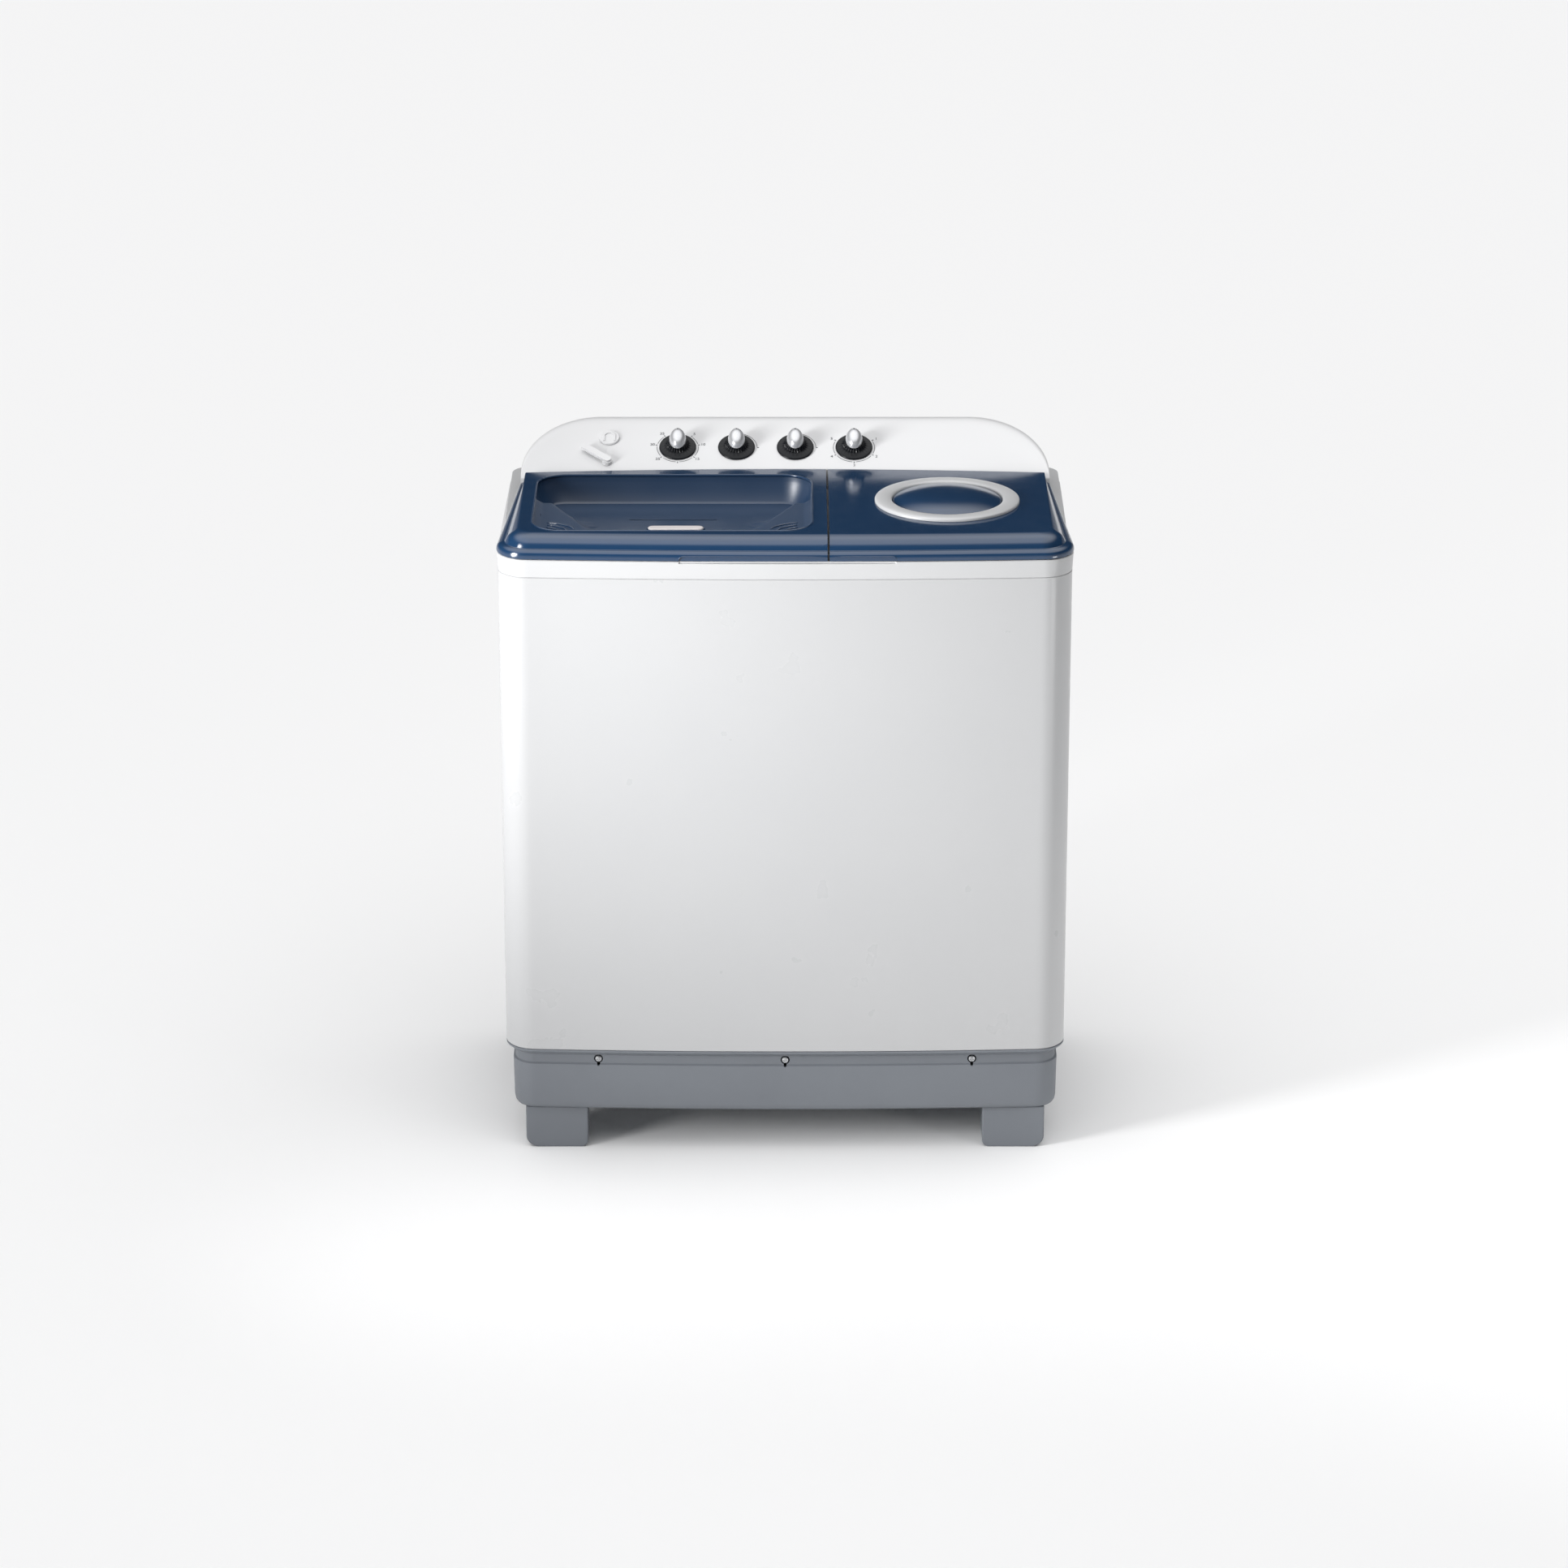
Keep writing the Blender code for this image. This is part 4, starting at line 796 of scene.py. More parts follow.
def make_lid_ears(side, body, places):
    for i, x in enumerate(places):
        lowest = (x - 0.0025, HINGE.y - 0.0048, HINGE.z - 0.0050)
        highest = (x + 0.0025, HINGE.y + 0.0048, HINGE.z + 0.0058)
        ear = new_object(f"{side}_lid_ear_{i + 1}", mesh_of(box(lowest, highest), "ear"), NAVY, body)
        cut(ear, rod((x - 0.02, HINGE.y, HINGE.z), (x + 0.02, HINGE.y, HINGE.z), 0.0031, 32))
        soften(ear, 0.0006, 2)


def make_spin_lid():
    lid = make_lid("spin_lid_top", low("spin_lid").x, -HALF - 0.06, "spin_lid_body")
    cut(lid, rod(VENT - VENT_NORMAL * 0.02, VENT + VENT_NORMAL * 0.02, 0.050, 96))
    finish_lid(lid)
    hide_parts("spin_lid")
    make_lid_ears("spin", "spin_lid_body", (0.0725, 0.3715))
    ring = [(0.1055, 0.0003), (0.1055, 0.0026), (0.1050, 0.0036), (0.1040, 0.0044), (0.1025, 0.0050)]
    ring += [(0.0985, 0.0056), (0.0930, 0.0059), (0.0880, 0.0058), (0.0842, 0.0053), (0.0824, 0.0046)]
    ring += [(0.0812, 0.0034), (0.0806, 0.0018), (0.0804, 0.0003)]
    # The vent ring is drawn in the darker white, as painted shade.
    piece = new_object("vent_surround", mesh_of(lathe(ring, VENT, VENT_NORMAL, 160, True), "vent"), WHITE_PAINTED_SHADE, "spin_lid_body", smooth=60)
    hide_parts("vent_ring")
    dome = [(0.0, 0.0135)]
    for step in range(1, 25):
        share = step / 24
        dome.append((0.0775 * share, 0.0135 - 0.0103 * share**3))
    dome += [(0.0786, 0.0026), (0.0790, 0.0016), (0.0790, 0.0003), (0.0560, 0.0003), (0.0540, 0.0056)]
    dome += [(0.030, 0.0092), (0.0, 0.0108)]
    cap = new_object("vent_dome", mesh_of(lathe(dome, VENT, VENT_NORMAL, 128), "dome"), NAVY, "spin_lid_body", smooth=50)
    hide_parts("vent_cap")


TRAY = (-0.3660, 0.0400, -0.2030, 0.0770)
TRAY_RADIUS = 0.046
VENT_NORMAL = Vector((0, LID_SLOPE, 1)).normalized()
VENT_LOW, VENT_HIGH = low("vent_ring"), high("vent_ring")
VENT = Vector(((VENT_LOW.x + VENT_HIGH.x) / 2, (VENT_LOW.y + VENT_HIGH.y) / 2, 0.0))
VENT.z = lid_plane_z(VENT.y)


def smooth_step(value):
    value = min(1.0, max(0.0, value))
    return value * value * (3 - 2 * value)


TRAY_FLOOR = ((0.0, 0.0420), (0.15, 0.0405), (0.30, 0.0350), (0.45, 0.0288), (0.60, 0.0230), (0.80, 0.0160), (1.0, 0.0105))


def floor_depth(along):
    """Depth of the scoop's floor between the back and the front, through the points of TRAY_FLOOR."""
    for (a, start), (b, end) in zip(TRAY_FLOOR, TRAY_FLOOR[1:]):
        if along <= b:
            return start + (end - start) * max(0.0, (along - a) / (b - a))
    return TRAY_FLOOR[-1][1]


def tray_depth(x, y):
    """How far the scoop lies under the lid's face: a floor that rises to the front, between two shoulders."""
    x0, x1, y0, y1 = TRAY
    along = (y1 - y) / (y1 - y0)
    floor = sum(floor_depth(along + 0.02 * k) for k in range(-3, 4)) / 7
    side = min(x - x0, x1 - x)
    edge = 0.026 + 0.066 * smooth_step((along - 0.22) / 0.80) ** 0.9
    shoulder = smooth_step((edge + 0.012 - side) / 0.024) * smooth_step((along - 0.24) / 0.16)
    return floor + (0.0086 - floor) * shoulder * 0.92


def make_tray_ribs():
    """Four curved ribs on the shoulder in each front corner."""
    x0, x1, y0, _ = TRAY
    for side, corner_x, inward in (("left", x0, 1), ("right", x1, -1)):
        for i in range(4):
            radius = 0.030 + 0.0115 * i
            path = []
            for step in range(17):
                angle = math.radians(30 + (34 + 4 * i) * step / 16)
                x = corner_x + inward * (0.006 + radius * math.cos(angle))
                y = y0 + 0.006 + radius * math.sin(angle)
                path.append(Vector((x, y, lid_plane_z(y, tray_depth(x, y) - 0.0002))))
            name = f"tray_rib_{side}_{i + 1}"
            new_object(name, mesh_of(sweep(path, 0.0017), name), NAVY, "wash_lid_body", smooth=80)


def sweep(path, radius, sides=10):
    """A round bar along a path, tapering at both ends."""
    rings = []
    for i, point in enumerate(path):
        along = (path[min(i + 1, len(path) - 1)] - path[max(i - 1, 0)]).normalized()
        across = along.cross(Vector((0, 0, 1))).normalized()
        up = across.cross(along)
        place = i / (len(path) - 1)
        size = radius * max(0.25, min(1.0, 7 * place, 7 * (1 - place)) ** 0.5)
        ring = []
        for k in range(sides):
            angle = 2 * math.pi * k / sides
            ring.append(point + across * size * math.cos(angle) + up * size * math.sin(angle))
        rings.append(ring)
    return loft(rings)


def make_grip_rims():
    """A fine bead round the finger recess, one part on each lid."""
    middle, half = (GRIP_LEFT + GRIP_RIGHT) / 2, (GRIP_RIGHT - GRIP_LEFT) / 2
    path = []
    for step in range(121):
        x = middle - half * math.cos(math.pi * step / 120)
        into = max(0.0, (abs(x - middle) - half + 0.0070) / 0.0070)
        rise = 0.0072 * math.sqrt(max(0.0, 1 - into**2))
        path.append(Vector((x, front_y(x, 0.0002), LID_LOW + 0.0004 + rise)))
    sides = (("wash", -1.0, high("wash_lid").x), ("spin", low("spin_lid").x, 1.0))
    for side, left, right in sides:
        points = [point for point in path if left < point.x < right]
        name = f"{side}_grip_rim"
        new_object(name, mesh_of(sweep(points, 0.0008), name), NAVY, f"{side}_lid_body", smooth=80)


def make_tray():
    """The wash tray: rings shrink from the opening to the middle, and each point drops by tray_depth."""
    x0, x1, y0, y1 = TRAY
    under = 0.0034
    skin = 0.0025

    def ring(inset, drop=None, extra=0.0):
        radius = max(TRAY_RADIUS - inset, 0.004)
        outline = rounded_rectangle(x0 + inset, x1 - inset, y0 + inset, y1 - inset, radius, 24, 120)
        points = []
        for x, y in outline:
            wall = min(1.0, max(0.0, inset / 0.013))
            depth = drop if drop is not None else under + (tray_depth(x, y) - under) * wall**0.6
            points.append((x, y, lid_plane_z(y, depth + extra)))
        return points

    insets = [0.0006, 0.0010, 0.0022, 0.0040, 0.0062, 0.0086, 0.0110, 0.0130]
    insets += [0.0130 + (0.1397 - 0.0130) * step / 64 for step in range(1, 65)]
    inside = [ring(inset) for inset in insets]
    outside = [ring(inset, None, skin) for inset in (0.0006, 0.0040, 0.0086, 0.0130, 0.030, 0.060, 0.100, 0.1397)]
    flange = [ring(-0.0050, under + skin), ring(-0.0050, under)]
    rings = list(reversed(inside)) + [ring(0.0004, under)] + flange[::-1] + outside
    tray = new_object("tray_bowl_shell", mesh_of(loft(rings), "tray"), NAVY_SATIN, "wash_lid_body", smooth=75)
    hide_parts("wash_tray")
    make_tray_bead()
    make_tray_ribs()
    make_tray_slot()
    make_tab()


def make_tray_bead():
    """The thin bright rim round the opening."""
    x0, x1, y0, y1 = TRAY
    profile = ((0.0006, -0.0004), (-0.0002, 0.0004), (0.0006, 0.0011), (0.0018, 0.0009), (0.0022, -0.0006), (0.0016, -0.0030), (0.0008, -0.0030))
    rings = []
    for inset, rise in profile:
        outline = rounded_rectangle(x0 + inset, x1 - inset, y0 + inset, y1 - inset, TRAY_RADIUS - inset, 24)
        rings.append([(x, y, lid_plane_z(y, -rise)) for x, y in outline])
    new_object("tray_opening_bead", mesh_of(loft(rings, tube=True), "bead"), NAVY_EDGE, "wash_lid_body", smooth=80)


def make_tray_slot():
    """A narrow drain slot in the left wall, with a raised rim and a dark fill in its opening as painted shade."""
    x0 = TRAY[0]
    x = x0 + 0.0085
    outline = rounded_rectangle(-0.150, -0.088, -0.0026, 0.0026, 0.0025, 8)
    z = lid_plane_z(-0.12, 0.0130)
    rim = [[(x + 0.0010 + height * 0.4 + side * 0.45, y, z + side * 1.4) for y, side in outline] for height in (0.0, 0.0030)]
    piece = new_object("tray_side_slot_rim", mesh_of(loft(rim), "slot_rim"), NAVY_EDGE, "wash_lid_body")
    soften(piece, 0.0005, 2)
    # Painted shade: a black strip fills the slot's opening where shade falls inside it.
    inner = rounded_rectangle(-0.148, -0.090, -0.0014, 0.0014, 0.0013, 8)
    dark = [[(x + 0.0012 + height * 0.4 + side * 0.45, y, z + side * 1.4) for y, side in inner] for height in (0.0, 0.0034)]
    new_object("tray_side_slot_shade", mesh_of(loft(dark), "slot"), RUBBER, "wash_lid_body")


def make_tab():
    """The pale tab at the front of the tray, in a shallow socket."""
    lowest, highest = low("tray_tab"), high("tray_tab")
    outline = rounded_rectangle(lowest.x, highest.x, lowest.y, highest.y, 0.0075, 12)
    tab = new_object("tray_release_tab", mesh_of(prism(outline, lowest.z, highest.z), "tab"), BEIGE, "wash_lid_body")
    soften(tab, 0.0018, 4)
    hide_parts("tray_tab")
    grown = 0.0022
    socket = rounded_rectangle(lowest.x - grown, highest.x + grown, lowest.y - grown, highest.y + grown, 0.0095, 12)
    inner = rounded_rectangle(lowest.x - 0.0004, highest.x + 0.0004, lowest.y - 0.0004, highest.y + 0.0004, 0.0078, 12)
    top = lid_plane_z((lowest.y + highest.y) / 2, 0.0158)
    rings = [at_height(socket, lowest.z - 0.004), at_height(socket, top), at_height(inner, top + 0.0004)]
    rings.append(at_height(inner, lowest.z - 0.004))
    new_object("tray_tab_socket", mesh_of(loft(rings, tube=True), "socket"), NAVY_DEEP, "wash_lid_body", smooth=40)


# ---- control panel ---------------------------------------------------------------------------------
PANEL_FOOT = Vector((0.0, REAR_EDGE + 0.0040, 0.9535))
PANEL_TOP_Y = 0.205
PANEL_HEIGHT = 1.000
PANEL_SHOULDER = 0.118
PANEL_ANGLE = math.atan2(PANEL_HEIGHT - PANEL_FOOT.z, PANEL_TOP_Y - PANEL_FOOT.y)
PANEL_SLOPE = math.tan(PANEL_ANGLE)
PANEL_NORMAL = Vector((0, -math.sin(PANEL_ANGLE), math.cos(PANEL_ANGLE)))
PANEL_UP = Vector((0, math.cos(PANEL_ANGLE), math.sin(PANEL_ANGLE)))
PANEL_FRAME = Matrix((Vector((1, 0, 0)), PANEL_UP, PANEL_NORMAL)).transposed()
KNOB_FIRST_X = -0.160
KNOB_PITCH = 0.0875
KNOB_ALONG = 0.0455


def panel_point(x, along, out=0.0):
    return Vector((x, PANEL_FOOT.y, PANEL_FOOT.z)) + PANEL_UP * along + PANEL_NORMAL * out


def panel_ring(x, skin, bottom, arc=8):
    """Side profile of the panel at one X. It gets lower and shallower over the rounded shoulders."""
    into = max(0.0, (abs(x) - PANEL_HALF + PANEL_SHOULDER + 2.5 * skin) / PANEL_SHOULDER)
    share = math.sqrt(max(0.0, 1 - into**2))
    foot_y = rear_edge_y(x) + PANEL_FOOT.y - REAR_EDGE + skin
    foot_z = PANEL_FOOT.z + PANEL_SLOPE * (foot_y - PANEL_FOOT.y) - skin / math.cos(PANEL_ANGLE)
    top = foot_z + 0.004 + (PANEL_HEIGHT - skin - foot_z - 0.004) * share
    back = foot_y + 0.035 + (BACK - skin - foot_y - 0.035) * share
    slope_end = foot_y + (top - 0.0015 - foot_z) / PANEL_SLOPE
    drop = top - FRAME_TOP
    points = [(foot_y, bottom)]
    for y, z in ((0.0, -0.0022), (0.0004, -0.0008), (0.0016, 0.0007)):
        points.append((foot_y + y, foot_z + z))
    points += curve((slope_end - 0.010, top - 0.0015 - 0.010 * PANEL_SLOPE), (slope_end + 0.002, top), (slope_end + 0.012, top), arc)
    points += curve((back - 0.020, top - 0.055 * drop), (back, top - 0.075 * drop), (back, top - 0.45 * drop), arc)
    points.append((back, bottom))
    return [(x, y, z) for y, z in points]


def curve(start, control, end, steps):
    """A quadratic curve in the YZ plane."""
    points = []
    for step in range(steps + 1):
        t = step / steps
        weights = ((1 - t) ** 2, 2 * t * (1 - t), t * t)
        points.append(tuple(sum(w * p[k] for w, p in zip(weights, (start, control, end))) for k in (0, 1)))
    return points


def panel_stations(half, steps=30):
    straight = PANEL_HALF - PANEL_SHOULDER
    shoulder = half - straight
    right = [straight * step / 16 for step in range(1, 17)]
    right += [straight + shoulder * math.sin(math.radians(88 * step / steps)) for step in range(1, steps + 1)]
    return [-x for x in reversed(right)] + [0.0] + right


def make_panel():
    foot = FRAME_TOP + 0.0003
    skin = 0.0030
    outer = [panel_ring(x, 0.0, foot) for x in panel_stations(PANEL_HALF)]
    inner = [panel_ring(x, skin, foot - 0.01) for x in panel_stations(PANEL_HALF - 2.5 * skin)]
    panel = new_object("panel_moulding", mesh_of(loft(outer), "panel"), WHITE)
    holes = [(KNOB_FIRST_X + KNOB_PITCH * i, KNOB_ALONG, 0.0062) for i in range(4)]
    holes.append((LEVER_X, LEVER_ALONG, 0.0045))
    cutters = [loft(inner)]
    cutters += [rod(panel_point(x, along, -0.02), panel_point(x, along, 0.02), radius) for x, along, radius in holes]
    cut(panel, *cutters)
    mark_sharp(panel, 42)
    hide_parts("control_panel")


# ---- knobs -----------------------------------------------------------------------------------------
def make_dial(name, x, body):
    """A skirted dial: a ribbed cone on a flat rim."""
    sides = 192
    rows = [(0.0, 0.0128), (0.0090, 0.0128), (0.0118, 0.0126), (0.0128, 0.0120), (0.0134, 0.0108), (0.0142, 0.0088)]
    rows += [(0.0154, 0.0068), (0.0172, 0.0052), (0.0200, 0.0042), (0.0236, 0.0037), (0.0262, 0.0031), (0.0271, 0.0025)]
    rows += [(0.0275, 0.0016), (0.0275, 0.0008), (0.0270, 0.0006), (0.0050, 0.0006), (0.0050, -0.0140), (0.0, -0.0140)]
    bm = lathe(rows, (0, 0, 0), (0, 0, 1), sides)
    for vert in bm.verts:
        radius = math.hypot(vert.co.x, vert.co.y)
        if 0.0130 < radius < 0.0205 and vert.co.z > 0.003:
            wave = math.cos(24 * math.atan2(vert.co.y, vert.co.x))
            swell = 0.00055 * wave * smooth_step((0.0206 - radius) / 0.004)
            vert.co.x += vert.co.x / radius * swell
            vert.co.y += vert.co.y / radius * swell
            vert.co.z += swell * 0.8
    bm.transform(Matrix.Translation(panel_point(x, KNOB_ALONG)) @ PANEL_FRAME.to_4x4())
    dial = new_object(name + "_dial_ribbed", mesh_of(bm, "dial"), DIAL, body, smooth=60)
    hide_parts(name + "_dial")


def make_pointer(name, x, body):
    """The silver egg-shaped grip, with a groove at its pointing end that a dark strip fills as painted shade."""
    bm = bmesh.new()
    bmesh.ops.create_uvsphere(bm, u_segments=96, v_segments=64, radius=1.0)
    for vert in bm.verts:
        vert.co.x *= 1.0 - 0.16 * max(0.0, vert.co.y) ** 1.6
    bm.transform(Matrix.Diagonal((0.0126, 0.0195, 0.0130, 1.0)))
    both = bm.verts[:] + bm.edges[:] + bm.faces[:]
    bmesh.ops.bisect_plane(bm, geom=both, plane_co=(0, 0, -0.0008), plane_no=(0, 0, -1), clear_outer=True)
    bmesh.ops.contextual_create(bm, geom=[edge for edge in bm.edges if edge.is_boundary])
    place = Matrix.Translation(panel_point(x, KNOB_ALONG + 0.0040, 0.0138)) @ PANEL_FRAME.to_4x4()
    bm.transform(place)
    cap = new_object(name + "_pointer_grip", mesh_of(bm, "grip"), SILVER, body, smooth=50)
    slot_outline = rounded_rectangle(-0.0010, 0.0010, 0.0095, 0.0152, 0.0009, 6)
    groove = prism(slot_outline, 0.0050, 0.02)
    groove.transform(place)
    cut(cap, groove)
    mark_sharp(cap, 50)
    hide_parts(name + "_pointer")
    # Painted shade: the groove is filled with dark ink nearly to the egg's surface.
    mark = egg_strip(slot_outline, -0.0003)
    mark.transform(place)
    new_object(name + "_pointer_groove_shade", mesh_of(mark, "mark"), INK_AND_GROOVE_SHADE, body)


def egg_strip(outline, lift):
    """A thin dark strip that fills the groove nearly up to the egg's surface: painted shade in the groove."""
    floor, rows = 0.0049, []
    for height in (0.0, 1.0):
        ring = []
        for x, y in outline:
            surface = 0.0130 * math.sqrt(max(0.0, 1 - (y / 0.0195) ** 2 - (x / 0.0110) ** 2))
            ring.append((x * 0.96, y, floor if height == 0.0 else max(floor + 0.0002, surface + lift)))
        rows.append(ring)
    return loft(rows)


def make_knobs():
    for i, name in enumerate(("wash_timer", "wash_selector", "drain_selector", "spin_timer")):
        x = KNOB_FIRST_X + KNOB_PITCH * i
        make_dial(name, x, name + "_knob")
        make_pointer(name, x, name + "_knob")


# ---- water selector --------------------------------------------------------------------------------
LEVER_X, LEVER_ALONG, LEVER_LENGTH = -0.2645, 0.0135, 0.047
INLET_X, INLET_ALONG = -0.262, 0.0660


def make_water_selector():
    hub = panel_point(LEVER_X, LEVER_ALONG)
    place = Matrix.Translation(hub) @ PANEL_FRAME.to_4x4() @ Matrix.Rotation(math.radians(-38), 4, "Z")
    outline = rounded_rectangle(-LEVER_LENGTH, 0.006, -0.0052, 0.0052, 0.0050, 14)
    bm = prism(outline, 0.0048, 0.0094)
    bm.transform(place)
    lever = new_object("water_selector_bar", mesh_of(bm, "bar"), WHITE, "water_lever_body")
    cut(
        lever,
        rod(hub + PANEL_NORMAL * 0.0006, hub + PANEL_NORMAL * 0.0060, 0.0075, 64),
        rod(hub + PANEL_NORMAL * 0.002, hub - PANEL_NORMAL * 0.010, 0.0038, 32),
        operation="UNION",
    )
    soften(lever, 0.0009, 3, 40)
    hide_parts("water_selector_lever")
    profile = [(0.0, 0.0030), (0.0118, 0.0029), (0.0132, 0.0032), (0.0142, 0.0030), (0.0150, 0.0022), (0.0155, 0.0012)]
    profile += [(0.0155, 0.0003), (0.0, 0.0003)]
    disc = lathe(profile, panel_point(INLET_X, INLET_ALONG), PANEL_NORMAL, 96)
    cap = new_object("water_inlet_disc", mesh_of(disc, "disc"), WHITE_SHADE)
    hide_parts("water_inlet_cap")
    make_inlet_arch()


def make_inlet_arch():
    """A low ridge on the disc in the shape of an arch, open at the bottom."""
    outline = []
    for radius, order in ((0.0092, 1), (0.0066, -1)):
        arc = [(radius * math.cos(math.radians(a)), 0.001 + radius * math.sin(math.radians(a))) for a in range(0, 181, 10)]
        arc = [(radius, -0.0085)] + arc + [(-radius, -0.0085)]
        outline += arc[::order]
    place = Matrix.Translation(panel_point(INLET_X, INLET_ALONG)) @ PANEL_FRAME.to_4x4()
    bm = prism(outline, 0.0026, 0.0042)
    bm.transform(place)
    arch = new_object("water_inlet_arch", mesh_of(bm, "arch"), WHITE)
    soften(arch, 0.0004, 2, 50)


# ---- printing on the panel -------------------------------------------------------------------------
def panel_print(name, bm, x, along, material=None, lift=0.00012):
    """Thin ink that follows the panel's face."""
    bm.transform(Matrix.Translation(panel_point(x, along, lift)) @ PANEL_FRAME.to_4x4())
    return new_object(name, mesh_of(bm, name), material or INK_AND_GROOVE_SHADE, smooth=0)


def arc_band(radius, width, start, end, thick=0.00012):
    """A flat band along an arc, angles in degrees from the panel's up direction, clockwise."""
    steps = max(4, int(abs(end - start) / 3))
    sections = []
    for step in range(steps + 1):
        angle = math.radians(90 - (start + (end - start) * step / steps))
        ray = Vector((math.cos(angle), math.sin(angle), 0))
        inner, outer = ray * (radius - width / 2), ray * (radius + width / 2)
        up = Vector((0, 0, thick))
        sections.append([inner, outer, outer + up, inner + up])
    return loft(sections)


def text_mesh(text, size):
    """A number as a thin solid, centred on its origin."""
    font = bpy.data.curves.new("number", "FONT")
    font.body = text
    font.size = size
    font.align_x = "CENTER"
    font.align_y = "CENTER"
    font.extrude = 0.00006
    obj = bpy.data.objects.new("number", font)
    bpy.context.scene.collection.objects.link(obj)
    graph = bpy.context.evaluated_depsgraph_get()
    graph.update()
    mesh = bpy.data.meshes.new_from_object(obj.evaluated_get(graph), depsgraph=graph)
    bm = bmesh.new()
    bm.from_mesh(mesh)
    bpy.data.objects.remove(obj, do_unlink=True)
    bpy.data.curves.remove(font)
    bpy.data.meshes.remove(mesh)
    return bm


def joined(pieces):
    """Several bmeshes as one."""
    total = bmesh.new()
    for bm in pieces:
        mesh = bpy.data.meshes.new("piece")
        bm.to_mesh(mesh)
        bm.free()
        total.from_mesh(mesh)
        bpy.data.meshes.remove(mesh)
    return total


def make_scale(name, x, marks, arcs, number_size=0.0072):
    """The arcs, ticks and numbers printed round one knob."""
    ring = 0.0308
    pieces = [arc_band(ring, 0.0007, start, end) for start, end in arcs]
    for angle, label in marks:
        tick = arc_band(ring + 0.0012, 0.0030, angle - 1.1, angle + 1.1)
        pieces.append(tick)
        if label:
            number = text_mesh(label, number_size)
            ray = math.radians(90 - angle)
            reach = ring + 0.0075
            number.transform(Matrix.Translation((reach * math.cos(ray), reach * math.sin(ray), 0.00006)))
            pieces.append(number)
    panel_print(name, joined(pieces), x, KNOB_ALONG)


def make_printing():
    timer = [(40, "5"), (80, "10"), (130, "15"), (180, ""), (230, "25"), (280, "30"), (322, "35")]
    make_scale("wash_timer_scale", KNOB_FIRST_X, timer, [(a + 5, b - 5) for a, b in zip((40, 80, 130, 180, 230, 280), (80, 130, 180, 230, 280, 322))])
    make_scale("wash_selector_scale", KNOB_FIRST_X + KNOB_PITCH, [(90, "")], [(8, 88)])
    make_scale("drain_selector_scale", KNOB_FIRST_X + 2 * KNOB_PITCH, [(90, "")], [(8, 88)])
    spin = [(60, "1"), (120, "2"), (180, "3"), (240, "4"), (300, "5")]
    make_scale("spin_timer_scale", KNOB_FIRST_X + 3 * KNOB_PITCH, spin, [(a + 5, b - 5) for a, b in zip((60, 120, 180, 240), (120, 180, 240, 300))])


# ---- inside: tubs, pulsator and basket -------------------------------------------------------------
def tub_ring(inset, z):
    x0, x1, y0, y1 = TUB
    return at_height(rounded_rectangle(x0 + inset, x1 - inset, y0 + inset, y1 - inset, 0.060 - inset, 16, 4), z)


TUB = (-0.3880, 0.0540, -0.2180, 0.1660)


def make_wash_tub():
    """The moulded tub, with a dished floor, holes for the pulsator shaft and the drain, and a drain grille."""
    top, floor, wall = high("wash_tub").z, low("wash_tub").z, 0.003
    outer = [tub_ring(0.018, floor), tub_ring(0.011, floor + 0.006), tub_ring(0.006, floor + 0.030), tub_ring(0.0, top)]
    inner = [tub_ring(wall, top), tub_ring(wall + 0.0062, floor + 0.032), tub_ring(wall + 0.012, floor + 0.012)]
    inner += [tub_ring(wall + 0.022, floor + wall + 0.001), tub_ring(wall + 0.050, floor + wall)]
    tub = new_object("wash_tub_shell", mesh_of(loft(outer + inner), "tub"), TUB_WHITE)
    centre = (low("pulsator") + high("pulsator")) / 2
    cut(
        tub,
        rod((centre.x, centre.y, floor - 0.02), (centre.x, centre.y, floor + 0.02), 0.0165, 64),
        rod((DRAIN.x, DRAIN.y, floor - 0.02), (DRAIN.x, DRAIN.y, floor + 0.02), 0.0180, 64),
    )
    mark_sharp(tub, 40)
    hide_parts("wash_tub")
    make_drain_grille(floor + wall)


DRAIN = Vector((0.010, 0.120, 0.0))


def make_drain_grille(z):
    profile = [(0.0, 0.0022), (0.020, 0.0020), (0.0235, 0.0010), (0.0240, 0.0), (0.0, 0.0)]
    plate = new_object("drain_grille", mesh_of(lathe(profile, (DRAIN.x, DRAIN.y, z), sides=64), "grille"), TUB_WHITE)
    cutters = []
    for ring, count in ((0.0, 1), (0.008, 6), (0.0155, 12)):
        for k in range(count):
            angle = 2 * math.pi * k / count
            x, y = DRAIN.x + ring * math.cos(angle), DRAIN.y + ring * math.sin(angle)
            cutters.append(rod((x, y, z - 0.01), (x, y, z + 0.01), 0.0022, 12))
    cut(plate, joined(cutters))
    mark_sharp(plate, 40)


